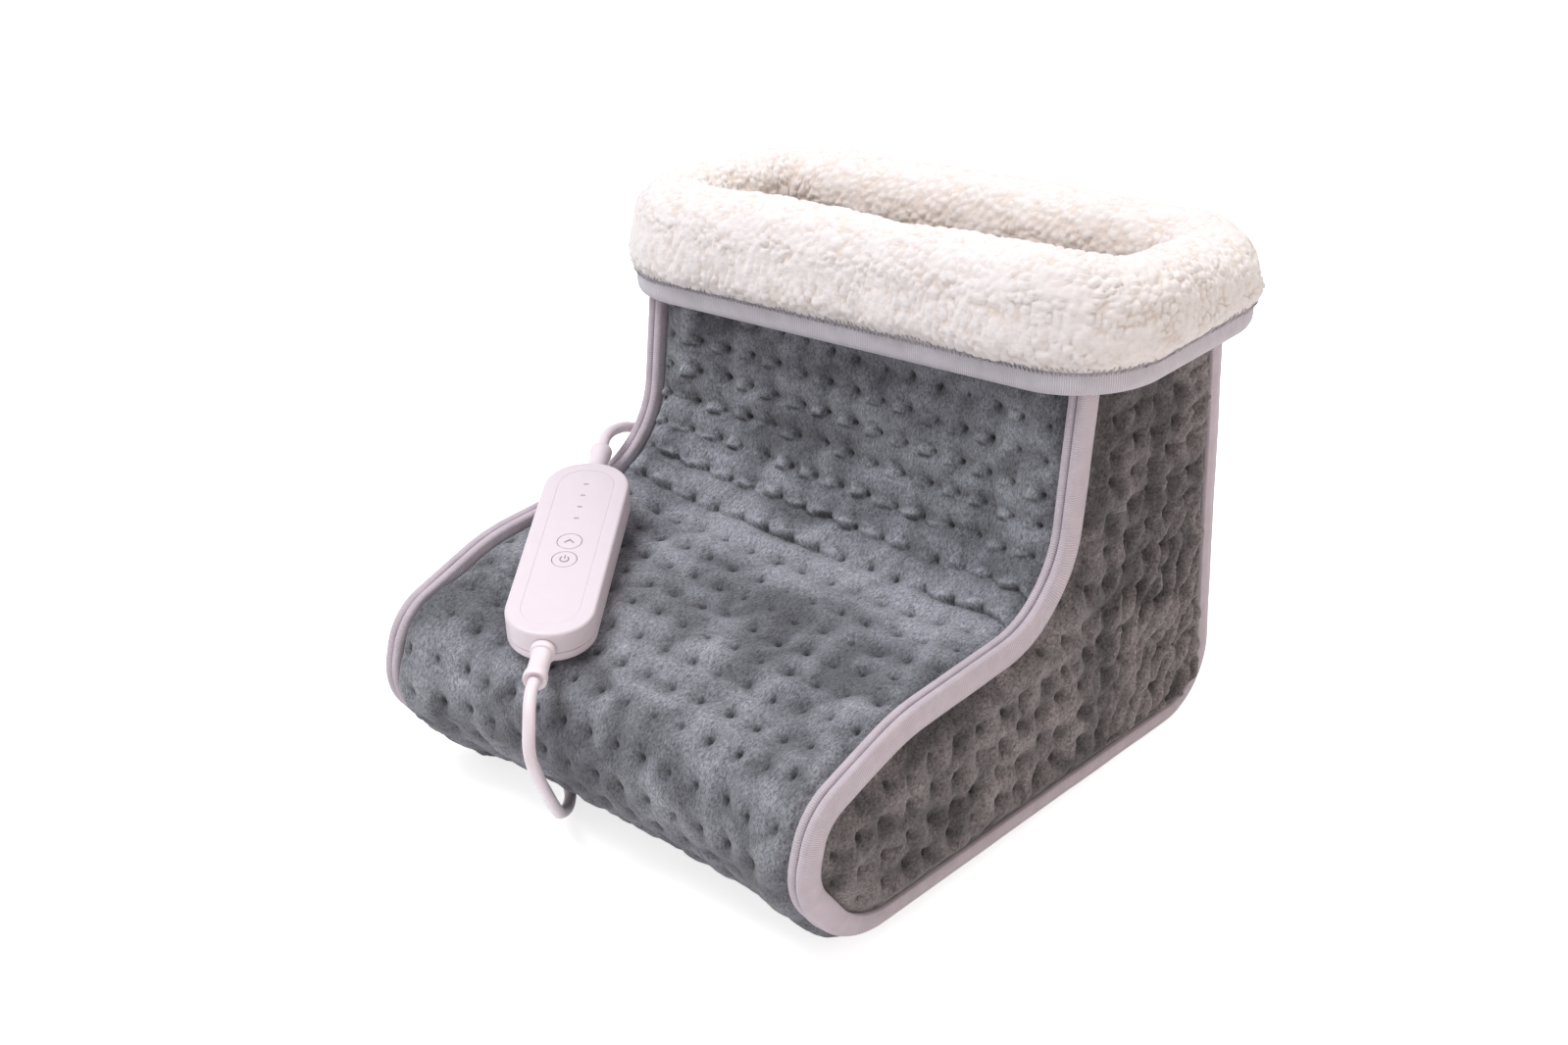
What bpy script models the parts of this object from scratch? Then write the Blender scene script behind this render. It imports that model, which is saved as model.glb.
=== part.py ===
"""Electric foot warmer: a quilted boot for two feet with a fleece cuff and liner,
a heating pad under the liner, a hand control with two push buttons, and a mains lead.

Metres, +Z up. X runs across the boot, the toe points to -Y, and the sole stands on Z = 0.
The origin is under the middle of the boot's own box, without the cords.
"""
import bpy
import bmesh
import math
from mathutils import Matrix, Vector

# Fits: what touches keeps this much clear of its neighbour
TOUCH_GAP = 0.0003
CUT_OVERRUN = 0.004
MERGE_DISTANCE = 0.00005

# Boot outline, seen from the side: distances forward of the heel rim and heights above the floor
SEAM_WIDTH = 0.2600
SHAFT_HEIGHT = 0.2360
SHAFT_FRONT_REACH = 0.1367
BACK_LEAN = 0.0180
HEEL_RADIUS = 0.0340
INSTEP_REACH = 0.1490
INSTEP_RADIUS = 0.0450
INSTEP_RISE = 0.0035
TOE_TOP_HEIGHT = 0.1130
TOE_TOP_RADIUS = 0.1050
INSTEP_HEIGHT = TOE_TOP_HEIGHT + INSTEP_RISE
NOSE_TOP_FALL = 0.0200
NOSE_TOP_HEIGHT = TOE_TOP_HEIGHT - NOSE_TOP_FALL
NOSE_TOP_RADIUS = 0.0320
NOSE_FRONT_FALL = 0.0390
NOSE_FRONT_HEIGHT = NOSE_TOP_HEIGHT - NOSE_FRONT_FALL
NOSE_FRONT_REACH = 0.3360
NOSE_ROUNDNESS = 0.6500
NOSE_FRONT_RADIUS = NOSE_ROUNDNESS * NOSE_FRONT_HEIGHT
NOSE_LEAN = 0.0105
NOSE_TOP_REACH = NOSE_FRONT_REACH - NOSE_LEAN
NOSE_SLOPE = 0.0615
TOE_TOP_REACH = NOSE_TOP_REACH - NOSE_SLOPE
TOE_UNDERCUT = 0.0340
TOE_BASE_REACH = NOSE_FRONT_REACH - TOE_UNDERCUT
TOE_SPRING = 0.0090
TOE_BASE_RADIUS = 0.0580
FILLET_STEPS = 5

# Seams: two bound edges side by side stand up from the panels
SEAM_RISE = 0.0090
TAPE_WIDTH = 0.0130
TAPE_THICKNESS = 0.0043
TAPE_ROUNDING = 0.0014
GROOVE_GAP = 0.0003

# Quilting: tufts a pitch apart, puffed between
QUILT_PITCH = 0.0172
TUFT_DEPTH = 0.0030
PUFF_HEIGHT = 0.0018
PANEL_THICKNESS = 0.0070
SIDE_THICKNESS = 0.0075
SIDE_CROWN = 0.0035
SIDE_EDGE_FADE = 0.0160

# Sole
SOLE_TOE_SETBACK = 0.0300
SOLE_HEEL_SETBACK = 0.0070
SOLE_FRONT_REACH = TOE_BASE_REACH - SOLE_TOE_SETBACK
SOLE_BACK_REACH = HEEL_RADIUS + SOLE_HEEL_SETBACK
SOLE_THICKNESS = 0.0090
SOLE_ROUNDING = 0.0015

# Liner, pad and heater
LINER_THICKNESS = 0.0085
LINER_FLOOR_HEIGHT = 0.0148
LINER_DROP = 0.0360
LINER_TOP_HEIGHT = SHAFT_HEIGHT - LINER_DROP
LINER_MARGIN = 0.0016
PAD_THICKNESS = 0.0030
PAD_TOE_MARGIN = 0.0310
PAD_HEEL_MARGIN = 0.0150
PAD_BACK_REACH = SOLE_BACK_REACH + PAD_HEEL_MARGIN
PAD_LENGTH = SOLE_FRONT_REACH - PAD_TOE_MARGIN - PAD_BACK_REACH
PAD_SIDE_MARGIN = 0.0220
PAD_WIDTH = SEAM_WIDTH - 2 * PAD_SIDE_MARGIN
PAD_CORNER = 0.0120
WIRE_RADIUS = 0.0010
WIRE_SPACING = 0.0224
WIRE_MARGIN = 0.0140
WIRE_RUNS = 1 + round((PAD_LENGTH - 2 * WIRE_MARGIN) / WIRE_SPACING)
WIRE_TURN_STEPS = 5
CUTOUT_LENGTH = 0.0140
CUTOUT_WIDTH = 0.0085
CUTOUT_HEIGHT = 0.0018
CUTOUT_EDGE = 0.0004
CUTOUT_PLACE = 0.0045

# Fleece cuff, rolled outward over the shaft; it tips up toward the right and the front
CUFF_SIDE_OVERHANG = 0.0300
CUFF_HALF_WIDTH = SEAM_WIDTH / 2 + CUFF_SIDE_OVERHANG
CUFF_FRONT_OVERHANG = 0.0193
CUFF_FRONT_REACH = SHAFT_FRONT_REACH + CUFF_FRONT_OVERHANG
CUFF_BACK_OVERHANG = 0.0080
CUFF_CORNER = 0.0560
CREST_RISE = 0.0326
CUFF_CREST_HEIGHT = SHAFT_HEIGHT + CREST_RISE
CUFF_CREST_TILT = 0.0800
CUFF_CREST_PITCH = 0.0980
ROLL_RADIUS = 0.0230
ROLL_STEPS = 6
HEM_DROP = 0.0232
HEM_HEIGHT = SHAFT_HEIGHT - HEM_DROP
HEM_TILT = 0.0740
HEM_SETBACK = 0.0055
HEM_CORNER = 0.0420
HEM_TAPE_HEIGHT = 0.0120
HEM_TAPE_ROUNDING = 0.0016
HEM_PUFF = 0.0080
SHAFT_COVER_CLEARANCE = 0.0008
SHAFT_COVER_CORNER = 0.0050
LINER_CORNER = 0.0120
CUFF_CORNER_STEPS = 7
CUFF_SIDE_STEPS = 4

# Hand control: lengths along it, heights from the line where the two shells part
CONTROL_RIGHT = -0.0740
CONTROL_SETBACK = 0.0750
CONTROL_REACH = NOSE_FRONT_REACH - CONTROL_SETBACK
CONTROL_HEADING = math.radians(-55.0)
CONTROL_DIP = math.radians(8.8)
CONTROL_LENGTH = 0.1390
CONTROL_WIDTH = 0.0430
CONTROL_CORNER = 0.0205
TOP_SHELL_HEIGHT = 0.0114
BOTTOM_SHELL_HEIGHT = 0.0060
SHELL_WALL = 0.0018
TOP_EDGE_ROUNDING = 0.0014
BOTTOM_EDGE_ROUNDING = 0.0032
CORNER_STEPS = 8
INLAY_MARGIN = 0.0075
INLAY_THICKNESS = 0.0008
BUTTON_RADIUS = 0.0060
BUTTON_HOLE_CLEARANCE = 0.0003
BUTTON_TRAVEL = 0.0004
BUTTON_CROWN = 0.0002
BUTTON_FLANGE = 0.0008
BUTTON_FLANGE_THICKNESS = 0.0010
BUTTON_STEM_RADIUS = 0.0015
LEVEL_BUTTON_PLACE = -0.0021
POWER_BUTTON_PLACE = 0.0123
WINDOW_RADIUS = 0.0009
WINDOW_END_MARGIN = 0.0195
WINDOW_FIRST_PLACE = WINDOW_END_MARGIN - CONTROL_LENGTH / 2
WINDOW_PITCH = 0.0096
WINDOW_COUNT = 4
BOARD_END_MARGIN = 0.0135
BOARD_LENGTH = CONTROL_LENGTH - 2 * BOARD_END_MARGIN
BOARD_WIDTH = 0.0220
BOARD_CORNER = 0.0020
BOARD_THICKNESS = 0.0016
BOARD_HEIGHT = 0.0004
SWITCH_SIZE = 0.0060
SWITCH_HEIGHT = 0.0035
SWITCH_PLUNGER_RADIUS = 0.0016
LED_SIZE = (0.0030, 0.0016, 0.0012)
FUSE_LENGTH = 0.0200
FUSE_RADIUS = 0.0024
FUSE_CAP_LENGTH = 0.0045
FUSE_CAP_STEP = 0.0002
FUSE_END_MARGIN = 0.0120
FUSE_PLACE = BOARD_LENGTH / 2 - FUSE_END_MARGIN
FUSE_OFFSET = 0.0060
TRIAC_SIZE = (0.0150, 0.0095, 0.0042)
PART_SPACING = 0.0010
TRIAC_PLACE = POWER_BUTTON_PLACE + SWITCH_SIZE / 2 + PART_SPACING + TRIAC_SIZE[0] / 2
TRIAC_OFFSET = 0.0055
CAPACITOR_SIZE = (0.0115, 0.0050, 0.0068)
CAPACITOR_PLACE = TRIAC_PLACE + TRIAC_SIZE[0] / 2 + PART_SPACING + CAPACITOR_SIZE[0] / 2
PART_EDGE = 0.0002
BOSS_RADIUS = 0.0026
BOSS_END_MARGIN = 0.0235
BOSS_PLACE = CONTROL_LENGTH / 2 - BOSS_END_MARGIN
BOSS_OFFSET = 0.0155
POST_RADIUS = 0.0018
POST_END_MARGIN = 0.0195
POST_PLACE = CONTROL_LENGTH / 2 - POST_END_MARGIN
POST_OFFSET = 0.0080
SCREW_RADIUS = 0.0011
SCREW_HEAD_RADIUS = 0.0021
SCREW_HEAD_HEIGHT = 0.0015
SCREW_LENGTH = 0.0110
SCREW_RECESS = 0.0008
SCREW_HOLE_CLEARANCE = 0.0003
CEILING = TOP_SHELL_HEIGHT - SHELL_WALL
CASE_FLOOR = SHELL_WALL - BOTTOM_SHELL_HEIGHT
BOARD_SEAT = BOARD_HEIGHT + BOARD_THICKNESS + TOUCH_GAP
SCREW_SEAT = SCREW_RECESS + SCREW_HEAD_HEIGHT - BOTTOM_SHELL_HEIGHT
SCREW_HOLE_RADIUS = SCREW_RADIUS + SCREW_HOLE_CLEARANCE
CASE_CORNERS = ((-1, -1), (-1, 1), (1, -1), (1, 1))
SCREW_SPOTS = [Matrix.Translation((right * BOSS_PLACE, up * BOSS_OFFSET, 0)) for right, up in CASE_CORNERS]

# Cord and strain reliefs
CORD_RADIUS = 0.0030
RELIEF_HEIGHT = 0.0027
RELIEF_NECK_RADIUS = 0.0040
RELIEF_ANCHOR_RADIUS = 0.0050
RELIEF_ANCHOR_LENGTH = 0.0020
RELIEF_ANCHOR_CLEARANCE = 0.0009
RELIEF_MOUTH_LENGTH = 0.0058
RELIEF_COLLAR_RADIUS = 0.0060
RELIEF_COLLAR_LENGTH = 0.0040
RELIEF_WAIST_RADIUS = 0.0051
RELIEF_MOUTH_RADIUS = 0.0066
RELIEF_LENGTH = 0.0230
RELIEF_LIP = 0.0006

# Lead entry on the left ankle
ENTRY_REACH = 0.1010
ENTRY_HEIGHT = 0.0810
ENTRY_ANGLE = math.radians(45.0)
ENTRY_LENGTH = 0.0260
ENTRY_WIDTH = 0.0160
ENTRY_DEPTH = 0.0100
ENTRY_ROUNDING = 0.0025
ENTRY_RELIEF_LENGTH = 0.0260
ENTRY_RELIEF_ROOT = 0.0047
ENTRY_RELIEF_TIP = 0.0037

# Mains cord put away behind the heel
COIL_CENTRE_RIGHT = -0.1180
COIL_CENTRE_BEHIND = 0.0640
COIL_MEAN_RADIUS = 0.0350
COIL_TURNS = 5.25
COIL_PITCH = 0.0066
COIL_POINTS_PER_TURN = 24
TIE_WIDTH = 0.0080
TIE_WALL = 0.0012
TIE_CLEARANCE = 0.0004
TIE_TURN = math.radians(40.0)
TIE_ROUNDING = 0.0030
PLUG_DISTANCE = 0.0560
PLUG_BODY_LENGTH = 0.0300
PLUG_BODY_WIDTH = 0.0355
PLUG_BODY_HEIGHT = 0.0137
PLUG_BODY_ROUNDING = 0.0030
PLUG_RELIEF_LENGTH = 0.0260
PLUG_RELIEF_ROOT = 0.0055
PLUG_RELIEF_TIP = 0.0040
PIN_RADIUS = 0.0020
PIN_LENGTH = 0.0190
PIN_SPACING = 0.0186
PIN_TIP = 0.0010

# Cord routes, chosen by hand: right of the middle, behind the heel rim, height
LEAD_ROUTE = [(-0.1433, -0.1390, 0.1195), (-0.1410, -0.1483, 0.1257), (-0.1370, -0.1633, 0.1317),
              (-0.1325, -0.1766, 0.1330)]
MAINS_ROUTE = [(-0.0095, -0.3515, 0.0925), (-0.0070, -0.3545, 0.0790), (-0.0090, -0.3495, 0.0645),
               (-0.0160, -0.3375, 0.0440), (-0.0270, -0.3220, 0.0220), (-0.0375, -0.3095, 0.0090),
               (-0.0445, -0.2985, 0.0037), (-0.0540, -0.2880, 0.0032), (-0.0670, -0.2810, 0.0032),
               (-0.0850, -0.2795, 0.0032), (-0.1150, -0.2795, 0.0032), (-0.1380, -0.2780, 0.0032),
               (-0.1560, -0.2660, 0.0032), (-0.1660, -0.2460, 0.0032), (-0.1690, -0.2150, 0.0032),
               (-0.1680, -0.1600, 0.0032), (-0.1655, -0.1000, 0.0032), (-0.1630, -0.0400, 0.0034),
               (-0.1618, 0.0100, 0.0044)]

# Counts: sides of round pieces, points drawn per span and per fillet
ROUND_STEPS = 20
BOSS_STEPS = 14
HOLE_STEPS = 12
SMALL_STEPS = 10
SPAN_STEPS = 24
GAP_SAMPLES = 3


def clear_scene():
    """Remove whatever objects the file holds."""
    for old in list(bpy.data.objects):
        bpy.data.objects.remove(old, do_unlink=True)


clear_scene()
PARTS = bpy.data.collections.new("electric_foot_warmer")
CUTTERS = bpy.data.collections.new("cutters")
bpy.context.scene.collection.children.link(PARTS)
bpy.context.scene.collection.children.link(CUTTERS)


def surface(name, colour, roughness, metallic=0.0):
    """A Principled material."""
    made = bpy.data.materials.new(name)
    made.use_nodes = True
    shader = made.node_tree.nodes["Principled BSDF"]
    shader.inputs["Base Color"].default_value = (*colour, 1.0)
    shader.inputs["Roughness"].default_value = roughness
    shader.inputs["Metallic"].default_value = metallic
    return made


PLUSH = surface("grey_plush", (0.130, 0.138, 0.150), 0.95)
TAPE = surface("lilac_grey_tape", (0.420, 0.400, 0.430), 0.85)
FLEECE = surface("cream_fleece", (0.830, 0.780, 0.700), 1.0)
SOLE_CLOTH = surface("sole_cloth", (0.100, 0.105, 0.115), 0.9)
FELT = surface("pad_felt", (0.700, 0.690, 0.660), 1.0)
HEATER = surface("heater_wire_silicone", (0.600, 0.080, 0.060), 0.5)
WHITE_CASE = surface("pinkish_white_abs", (0.820, 0.770, 0.780), 0.35)
WHITE_CORD = surface("pinkish_white_pvc", (0.800, 0.750, 0.760), 0.45)
CLEAR_WINDOW = surface("smoked_window", (0.300, 0.290, 0.300), 0.2)
BOARD_GREEN = surface("board_laminate", (0.030, 0.180, 0.070), 0.5)
BLACK_PART = surface("black_epoxy", (0.030, 0.030, 0.032), 0.5)
LED_BODY = surface("led_resin", (0.850, 0.830, 0.760), 0.3)
FUSE_GLASS = surface("fuse_body", (0.700, 0.720, 0.730), 0.2)
STEEL = surface("zinc_plated_steel", (0.600, 0.600, 0.580), 0.35, 1.0)
NICKEL = surface("nickel_plated_brass", (0.700, 0.690, 0.650), 0.25, 1.0)
TIE_PLASTIC = surface("tie_strap", (0.750, 0.740, 0.740), 0.6)


def add_object(name, data, material=None, matrix=None):
    """Link a piece into the collection of parts."""
    made = bpy.data.objects.new(name, data)
    PARTS.objects.link(made)
    if matrix is not None:
        made.matrix_world = matrix
    if material is not None:
        data.materials.append(material)
    return made


def from_bmesh(name, bm, material, matrix=None, smooth=True):
    """Turn a finished bmesh into a piece with its faces pointing out."""
    bmesh.ops.remove_doubles(bm, verts=bm.verts, dist=MERGE_DISTANCE)
    bmesh.ops.recalc_face_normals(bm, faces=bm.faces)
    data = bpy.data.meshes.new(name)
    bm.to_mesh(data)
    bm.free()
    if smooth:
        data.shade_smooth()
        data.set_sharp_from_angle(angle=math.radians(40.0))
    return add_object(name, data, material, matrix)


def as_cutter(piece):
    """Move a piece to the collection of cutters, shown as wire only."""
    PARTS.objects.unlink(piece)
    CUTTERS.objects.link(piece)
    piece.hide_render = True
    piece.display_type = "WIRE"
    return piece


def boolean(piece, other, operation):
    """Cut, join or keep what is common, with the exact solver."""
    step = piece.modifiers.new(operation.lower(), "BOOLEAN")
    step.operation = operation
    step.solver = "EXACT"
    step.object = as_cutter(other)
    return piece


def bevel(piece, width, segments=2, angle=math.radians(40.0)):
    """Round the sharp edges of a piece."""
    step = piece.modifiers.new("bevel", "BEVEL")
    step.width = width
    step.segments = segments
    step.limit_method = "ANGLE"
    step.angle_limit = angle
    return piece


def plate(name, outline, low, high, material, matrix=None):
    """A flat outline in local XY, filled, from one height to another, as a mesh."""
    curve = bpy.data.curves.new(name, "CURVE")
    curve.dimensions = "2D"
    curve.fill_mode = "BOTH"
    curve.extrude = (high - low) / 2
    spline = curve.splines.new("POLY")
    spline.points.add(len(outline) - 1)
    for point, (across, along) in zip(spline.points, outline):
        point.co = (across, along, 0, 1)
    spline.use_cyclic_u = True
    flat = bpy.data.objects.new(name + "_outline", curve)
    PARTS.objects.link(flat)
    flat.matrix_world = (matrix or Matrix()) @ Matrix.Translation((0, 0, (low + high) / 2))
    bpy.context.view_layer.update()
    graph = bpy.context.evaluated_depsgraph_get()
    data = bpy.data.meshes.new_from_object(flat.evaluated_get(graph))
    place = flat.matrix_world.copy()
    bpy.data.objects.remove(flat, do_unlink=True)
    bm = bmesh.new()
    bm.from_mesh(data)
    bmesh.ops.remove_doubles(bm, verts=bm.verts, dist=MERGE_DISTANCE)
    bmesh.ops.dissolve_limit(bm, angle_limit=math.radians(1.0), verts=bm.verts, edges=bm.edges)
    bmesh.ops.recalc_face_normals(bm, faces=bm.faces)
    bm.to_mesh(data)
    bm.free()
    data.materials.clear()
    return add_object(name, data, material, place)


def turned(name, profile, material, matrix=None, steps=ROUND_STEPS):
    """A shape turned about local Z: (radius, height) pairs down its outer side."""
    data = bpy.data.meshes.new(name)
    corners = [(radius, 0, height) for radius, height in profile]
    edges = [(index, index + 1) for index in range(len(corners) - 1)]
    data.from_pydata(corners, edges, [])
    piece = add_object(name, data, material, matrix)
    screw = piece.modifiers.new("screw", "SCREW")
    screw.axis = "Z"
    screw.steps = steps
    screw.render_steps = steps
    screw.use_merge_vertices = True
    screw.merge_threshold = MERGE_DISTANCE
    return piece


def pin(name, radius, low, high, material, matrix=None, steps=ROUND_STEPS):
    """A plain round pin along local Z."""
    return turned(name, [(0, high), (radius, high), (radius, low), (0, low)], material, matrix, steps)


def block(name, size, rounding, material, matrix=None, segments=2):
    """A box about its own centre with rounded edges."""
    bm = bmesh.new()
    bmesh.ops.create_cube(bm, size=1)
    bmesh.ops.scale(bm, vec=size, verts=bm.verts)
    piece = from_bmesh(name, bm, material, matrix, smooth=False)
    return bevel(piece, rounding, segments)


def tube(name, points, radius, material, resolution=2):
    """A round cord through points, with filled ends."""
    curve = bpy.data.curves.new(name, "CURVE")
    curve.dimensions = "3D"
    curve.bevel_depth = radius
    curve.bevel_resolution = resolution
    curve.use_fill_caps = True
    spline = curve.splines.new("POLY")
    spline.points.add(len(points) - 1)
    for point, place in zip(spline.points, points):
        point.co = (*place, 1)
    return add_object(name, curve, material)


def smooth_route(stations, spacing):
    """Even points along a smooth curve through chosen stations; the first and last spans stay straight."""
    stations = [Vector(place) for place in stations]
    dense = []
    for index in range(1, len(stations) - 2):
        before, start, end, after = stations[index - 1:index + 3]
        length = (end - start).length
        leave = (end - before).normalized() * length
        arrive = (after - start).normalized() * length
        for step in range(SPAN_STEPS):
            part = step / SPAN_STEPS
            square, cube = part * part, part * part * part
            dense.append(start * (2 * cube - 3 * square + 1) + leave * (cube - 2 * square + part)
                         + end * (3 * square - 2 * cube) + arrive * (cube - square))
    dense.append(stations[-2])
    total = sum((b - a).length for a, b in zip(dense, dense[1:]))
    count = max(2, round(total / spacing))
    goal, walked, points = total / count, 0, [dense[0]]
    for a, b in zip(dense, dense[1:]):
        step = (b - a).length
        while walked + step >= goal * len(points) and len(points) < count:
            points.append(a.lerp(b, (goal * len(points) - walked) / step))
        walked += step
    return [stations[0], *points, *stations[-2:]]


# The boot's side outline and what is drawn parallel to it
def boot_corners():
    """Corners of the rim, seen from the side: forward place, height, fillet radius."""
    return [(-SHAFT_FRONT_REACH, SHAFT_HEIGHT, 0),
            (-INSTEP_REACH, INSTEP_HEIGHT, INSTEP_RADIUS),
            (-TOE_TOP_REACH, TOE_TOP_HEIGHT, TOE_TOP_RADIUS),
            (-NOSE_TOP_REACH, NOSE_TOP_HEIGHT, NOSE_TOP_RADIUS),
            (-NOSE_FRONT_REACH, NOSE_FRONT_HEIGHT, NOSE_FRONT_RADIUS),
            (-TOE_BASE_REACH, TOE_SPRING, TOE_BASE_RADIUS),
            (0, 0, HEEL_RADIUS),
            (-BACK_LEAN, SHAFT_HEIGHT, 0)]


def boot_path(inset, ground=None, top=0):
    """Open path from the shaft's front top round the toe and heel to its back top.

    It lies inset inside the rim, ground above the rim's bottom edge, and ends top below the shaft's top.
    """
    corners = boot_corners()
    count = len(corners)
    insets = [inset] * count
    insets[5] = inset if ground is None else ground
    insets[7] = top
    lines = []
    for index, here in enumerate(corners):
        after = corners[(index + 1) % count]
        along = Vector((after[0] - here[0], after[1] - here[1])).normalized()
        inward = Vector((-along.y, along.x))
        lines.append((Vector(here[:2]) + inward * insets[index], along))
    path = []
    for index, here in enumerate(corners):
        (point_a, along_a), (point_b, along_b) = lines[index - 1], lines[index]
        turn = along_a.x * along_b.y - along_a.y * along_b.x
        between = point_b - point_a
        corner = point_a + along_a * ((between.x * along_b.y - between.y * along_b.x) / turn)
        if here[2] == 0:
            path.append(corner)
            continue
        bend = abs(math.atan2(turn, along_a.dot(along_b)))
        radius = here[2] - inset if turn > 0 else here[2] + inset
        reach = radius * math.tan(bend / 2)
        start = corner - along_a * reach
        side = Vector((-along_a.y, along_a.x)) * (1 if turn > 0 else -1)
        centre = start + side * radius
        for step in range(FILLET_STEPS + 1):
            angle = bend * step / FILLET_STEPS * (1 if turn > 0 else -1)
            spoke = start - centre
            path.append(centre + Vector((spoke.x * math.cos(angle) - spoke.y * math.sin(angle),
                                         spoke.x * math.sin(angle) + spoke.y * math.cos(angle))))
    return path


def path_lengths(path):
    """Distance walked at each point of a path."""
    walked = [0]
    for a, b in zip(path, path[1:]):
        walked.append(walked[-1] + (b - a).length)
    return walked


def path_at(path, walked, distance):
    """Place and inward normal at a distance along a path."""
    for index in range(len(path) - 1):
        if walked[index + 1] >= distance or index == len(path) - 2:
            along = (path[index + 1] - path[index]).normalized()
            place = path[index] + along * (distance - walked[index])
            return place, Vector((-along.y, along.x))


def distance_to_reach(path, walked, reach):
    """Distance along the path's bottom edge at which it lies reach forward of the heel."""
    for index in range(len(path) - 1):
        a, b = path[index], path[index + 1]
        if a.x <= -reach <= b.x and b.y < NOSE_FRONT_HEIGHT and a.y < NOSE_FRONT_HEIGHT:
            return walked[index] + (b - a).length * (-reach - a.x) / (b.x - a.x)


RIM = boot_path(0)
TOE_REACH = -min(point.x for point in RIM)
MIDDLE = (TOE_REACH - CUFF_BACK_OVERHANG) / 2
HALF_SEAM = SEAM_WIDTH / 2
STRIP_HALF_WIDTH = HALF_SEAM - GROOVE_GAP / 2 - TAPE_THICKNESS - TOUCH_GAP
SIDE_VIEW = Matrix(((0, 0, 1, 0), (1, 0, 0, MIDDLE), (0, 1, 0, 0), (0, 0, 0, 1)))


def quilted_strip(name, path, start, end, material):
    """A padded strip wrapped on a path, tufted a pitch apart, flat behind and drawn in at its edges."""
    walked = path_lengths(path)
    rows = round((end - start) / QUILT_PITCH)
    columns = round(2 * STRIP_HALF_WIDTH / QUILT_PITCH)
    bm = bmesh.new()
    outer, inner = [], []
    for row in range(rows + 1):
        place, inward = path_at(path, walked, start + (end - start) * row / rows)
        line = []
        for column in range(columns + 1):
            across = STRIP_HALF_WIDTH * (2 * column / columns - 1)
            edge = row in (0, rows) or column in (0, columns)
            sunk = place + inward * (0 if edge else TUFT_DEPTH)
            line.append(bm.verts.new((across, sunk.x + MIDDLE, sunk.y)))
        outer.append(line)
        back = place + inward * PANEL_THICKNESS
        inner.append([bm.verts.new((side * STRIP_HALF_WIDTH, back.x + MIDDLE, back.y)) for side in (-1, 1)])
    cells = []
    for row in range(rows):
        upper, lower = outer[row], outer[row + 1]
        for column in range(columns):
            cells.append(bm.faces.new((upper[column], lower[column], lower[column + 1], upper[column + 1])))
        (left, right), (low_left, low_right) = inner[row], inner[row + 1]
        bm.faces.new((left, right, low_right, low_left))
        bm.faces.new((upper[0], left, low_left, lower[0]))
        bm.faces.new((upper[-1], lower[-1], low_right, right))
    bm.faces.new([*outer[0], inner[0][1], inner[0][0]])
    bm.faces.new([*reversed(outer[-1]), inner[-1][0], inner[-1][1]])
    puffed = bmesh.ops.poke(bm, faces=cells)
    index = 0
    for row in range(rows):
        place, inward = path_at(path, walked, start + (end - start) * (2 * row + 1) / (2 * rows))
        peak = place - inward * PUFF_HEIGHT
        for column in range(columns):
            top = puffed["verts"][index]
            top.co.y = peak.x + MIDDLE
            top.co.z = peak.y
            index += 1
    return from_bmesh(name, bm, material)


def distance_inside(outline, place):
    """How far a point lies from the nearest edge of a closed outline."""
    best = None
    for index, a in enumerate(outline):
        b = outline[(index + 1) % len(outline)]
        edge = b - a
        part = max(0, min(1, (place - a).dot(edge) / edge.length_squared))
        gap = (place - a - edge * part).length
        best = gap if best is None else min(best, gap)
    return best


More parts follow.
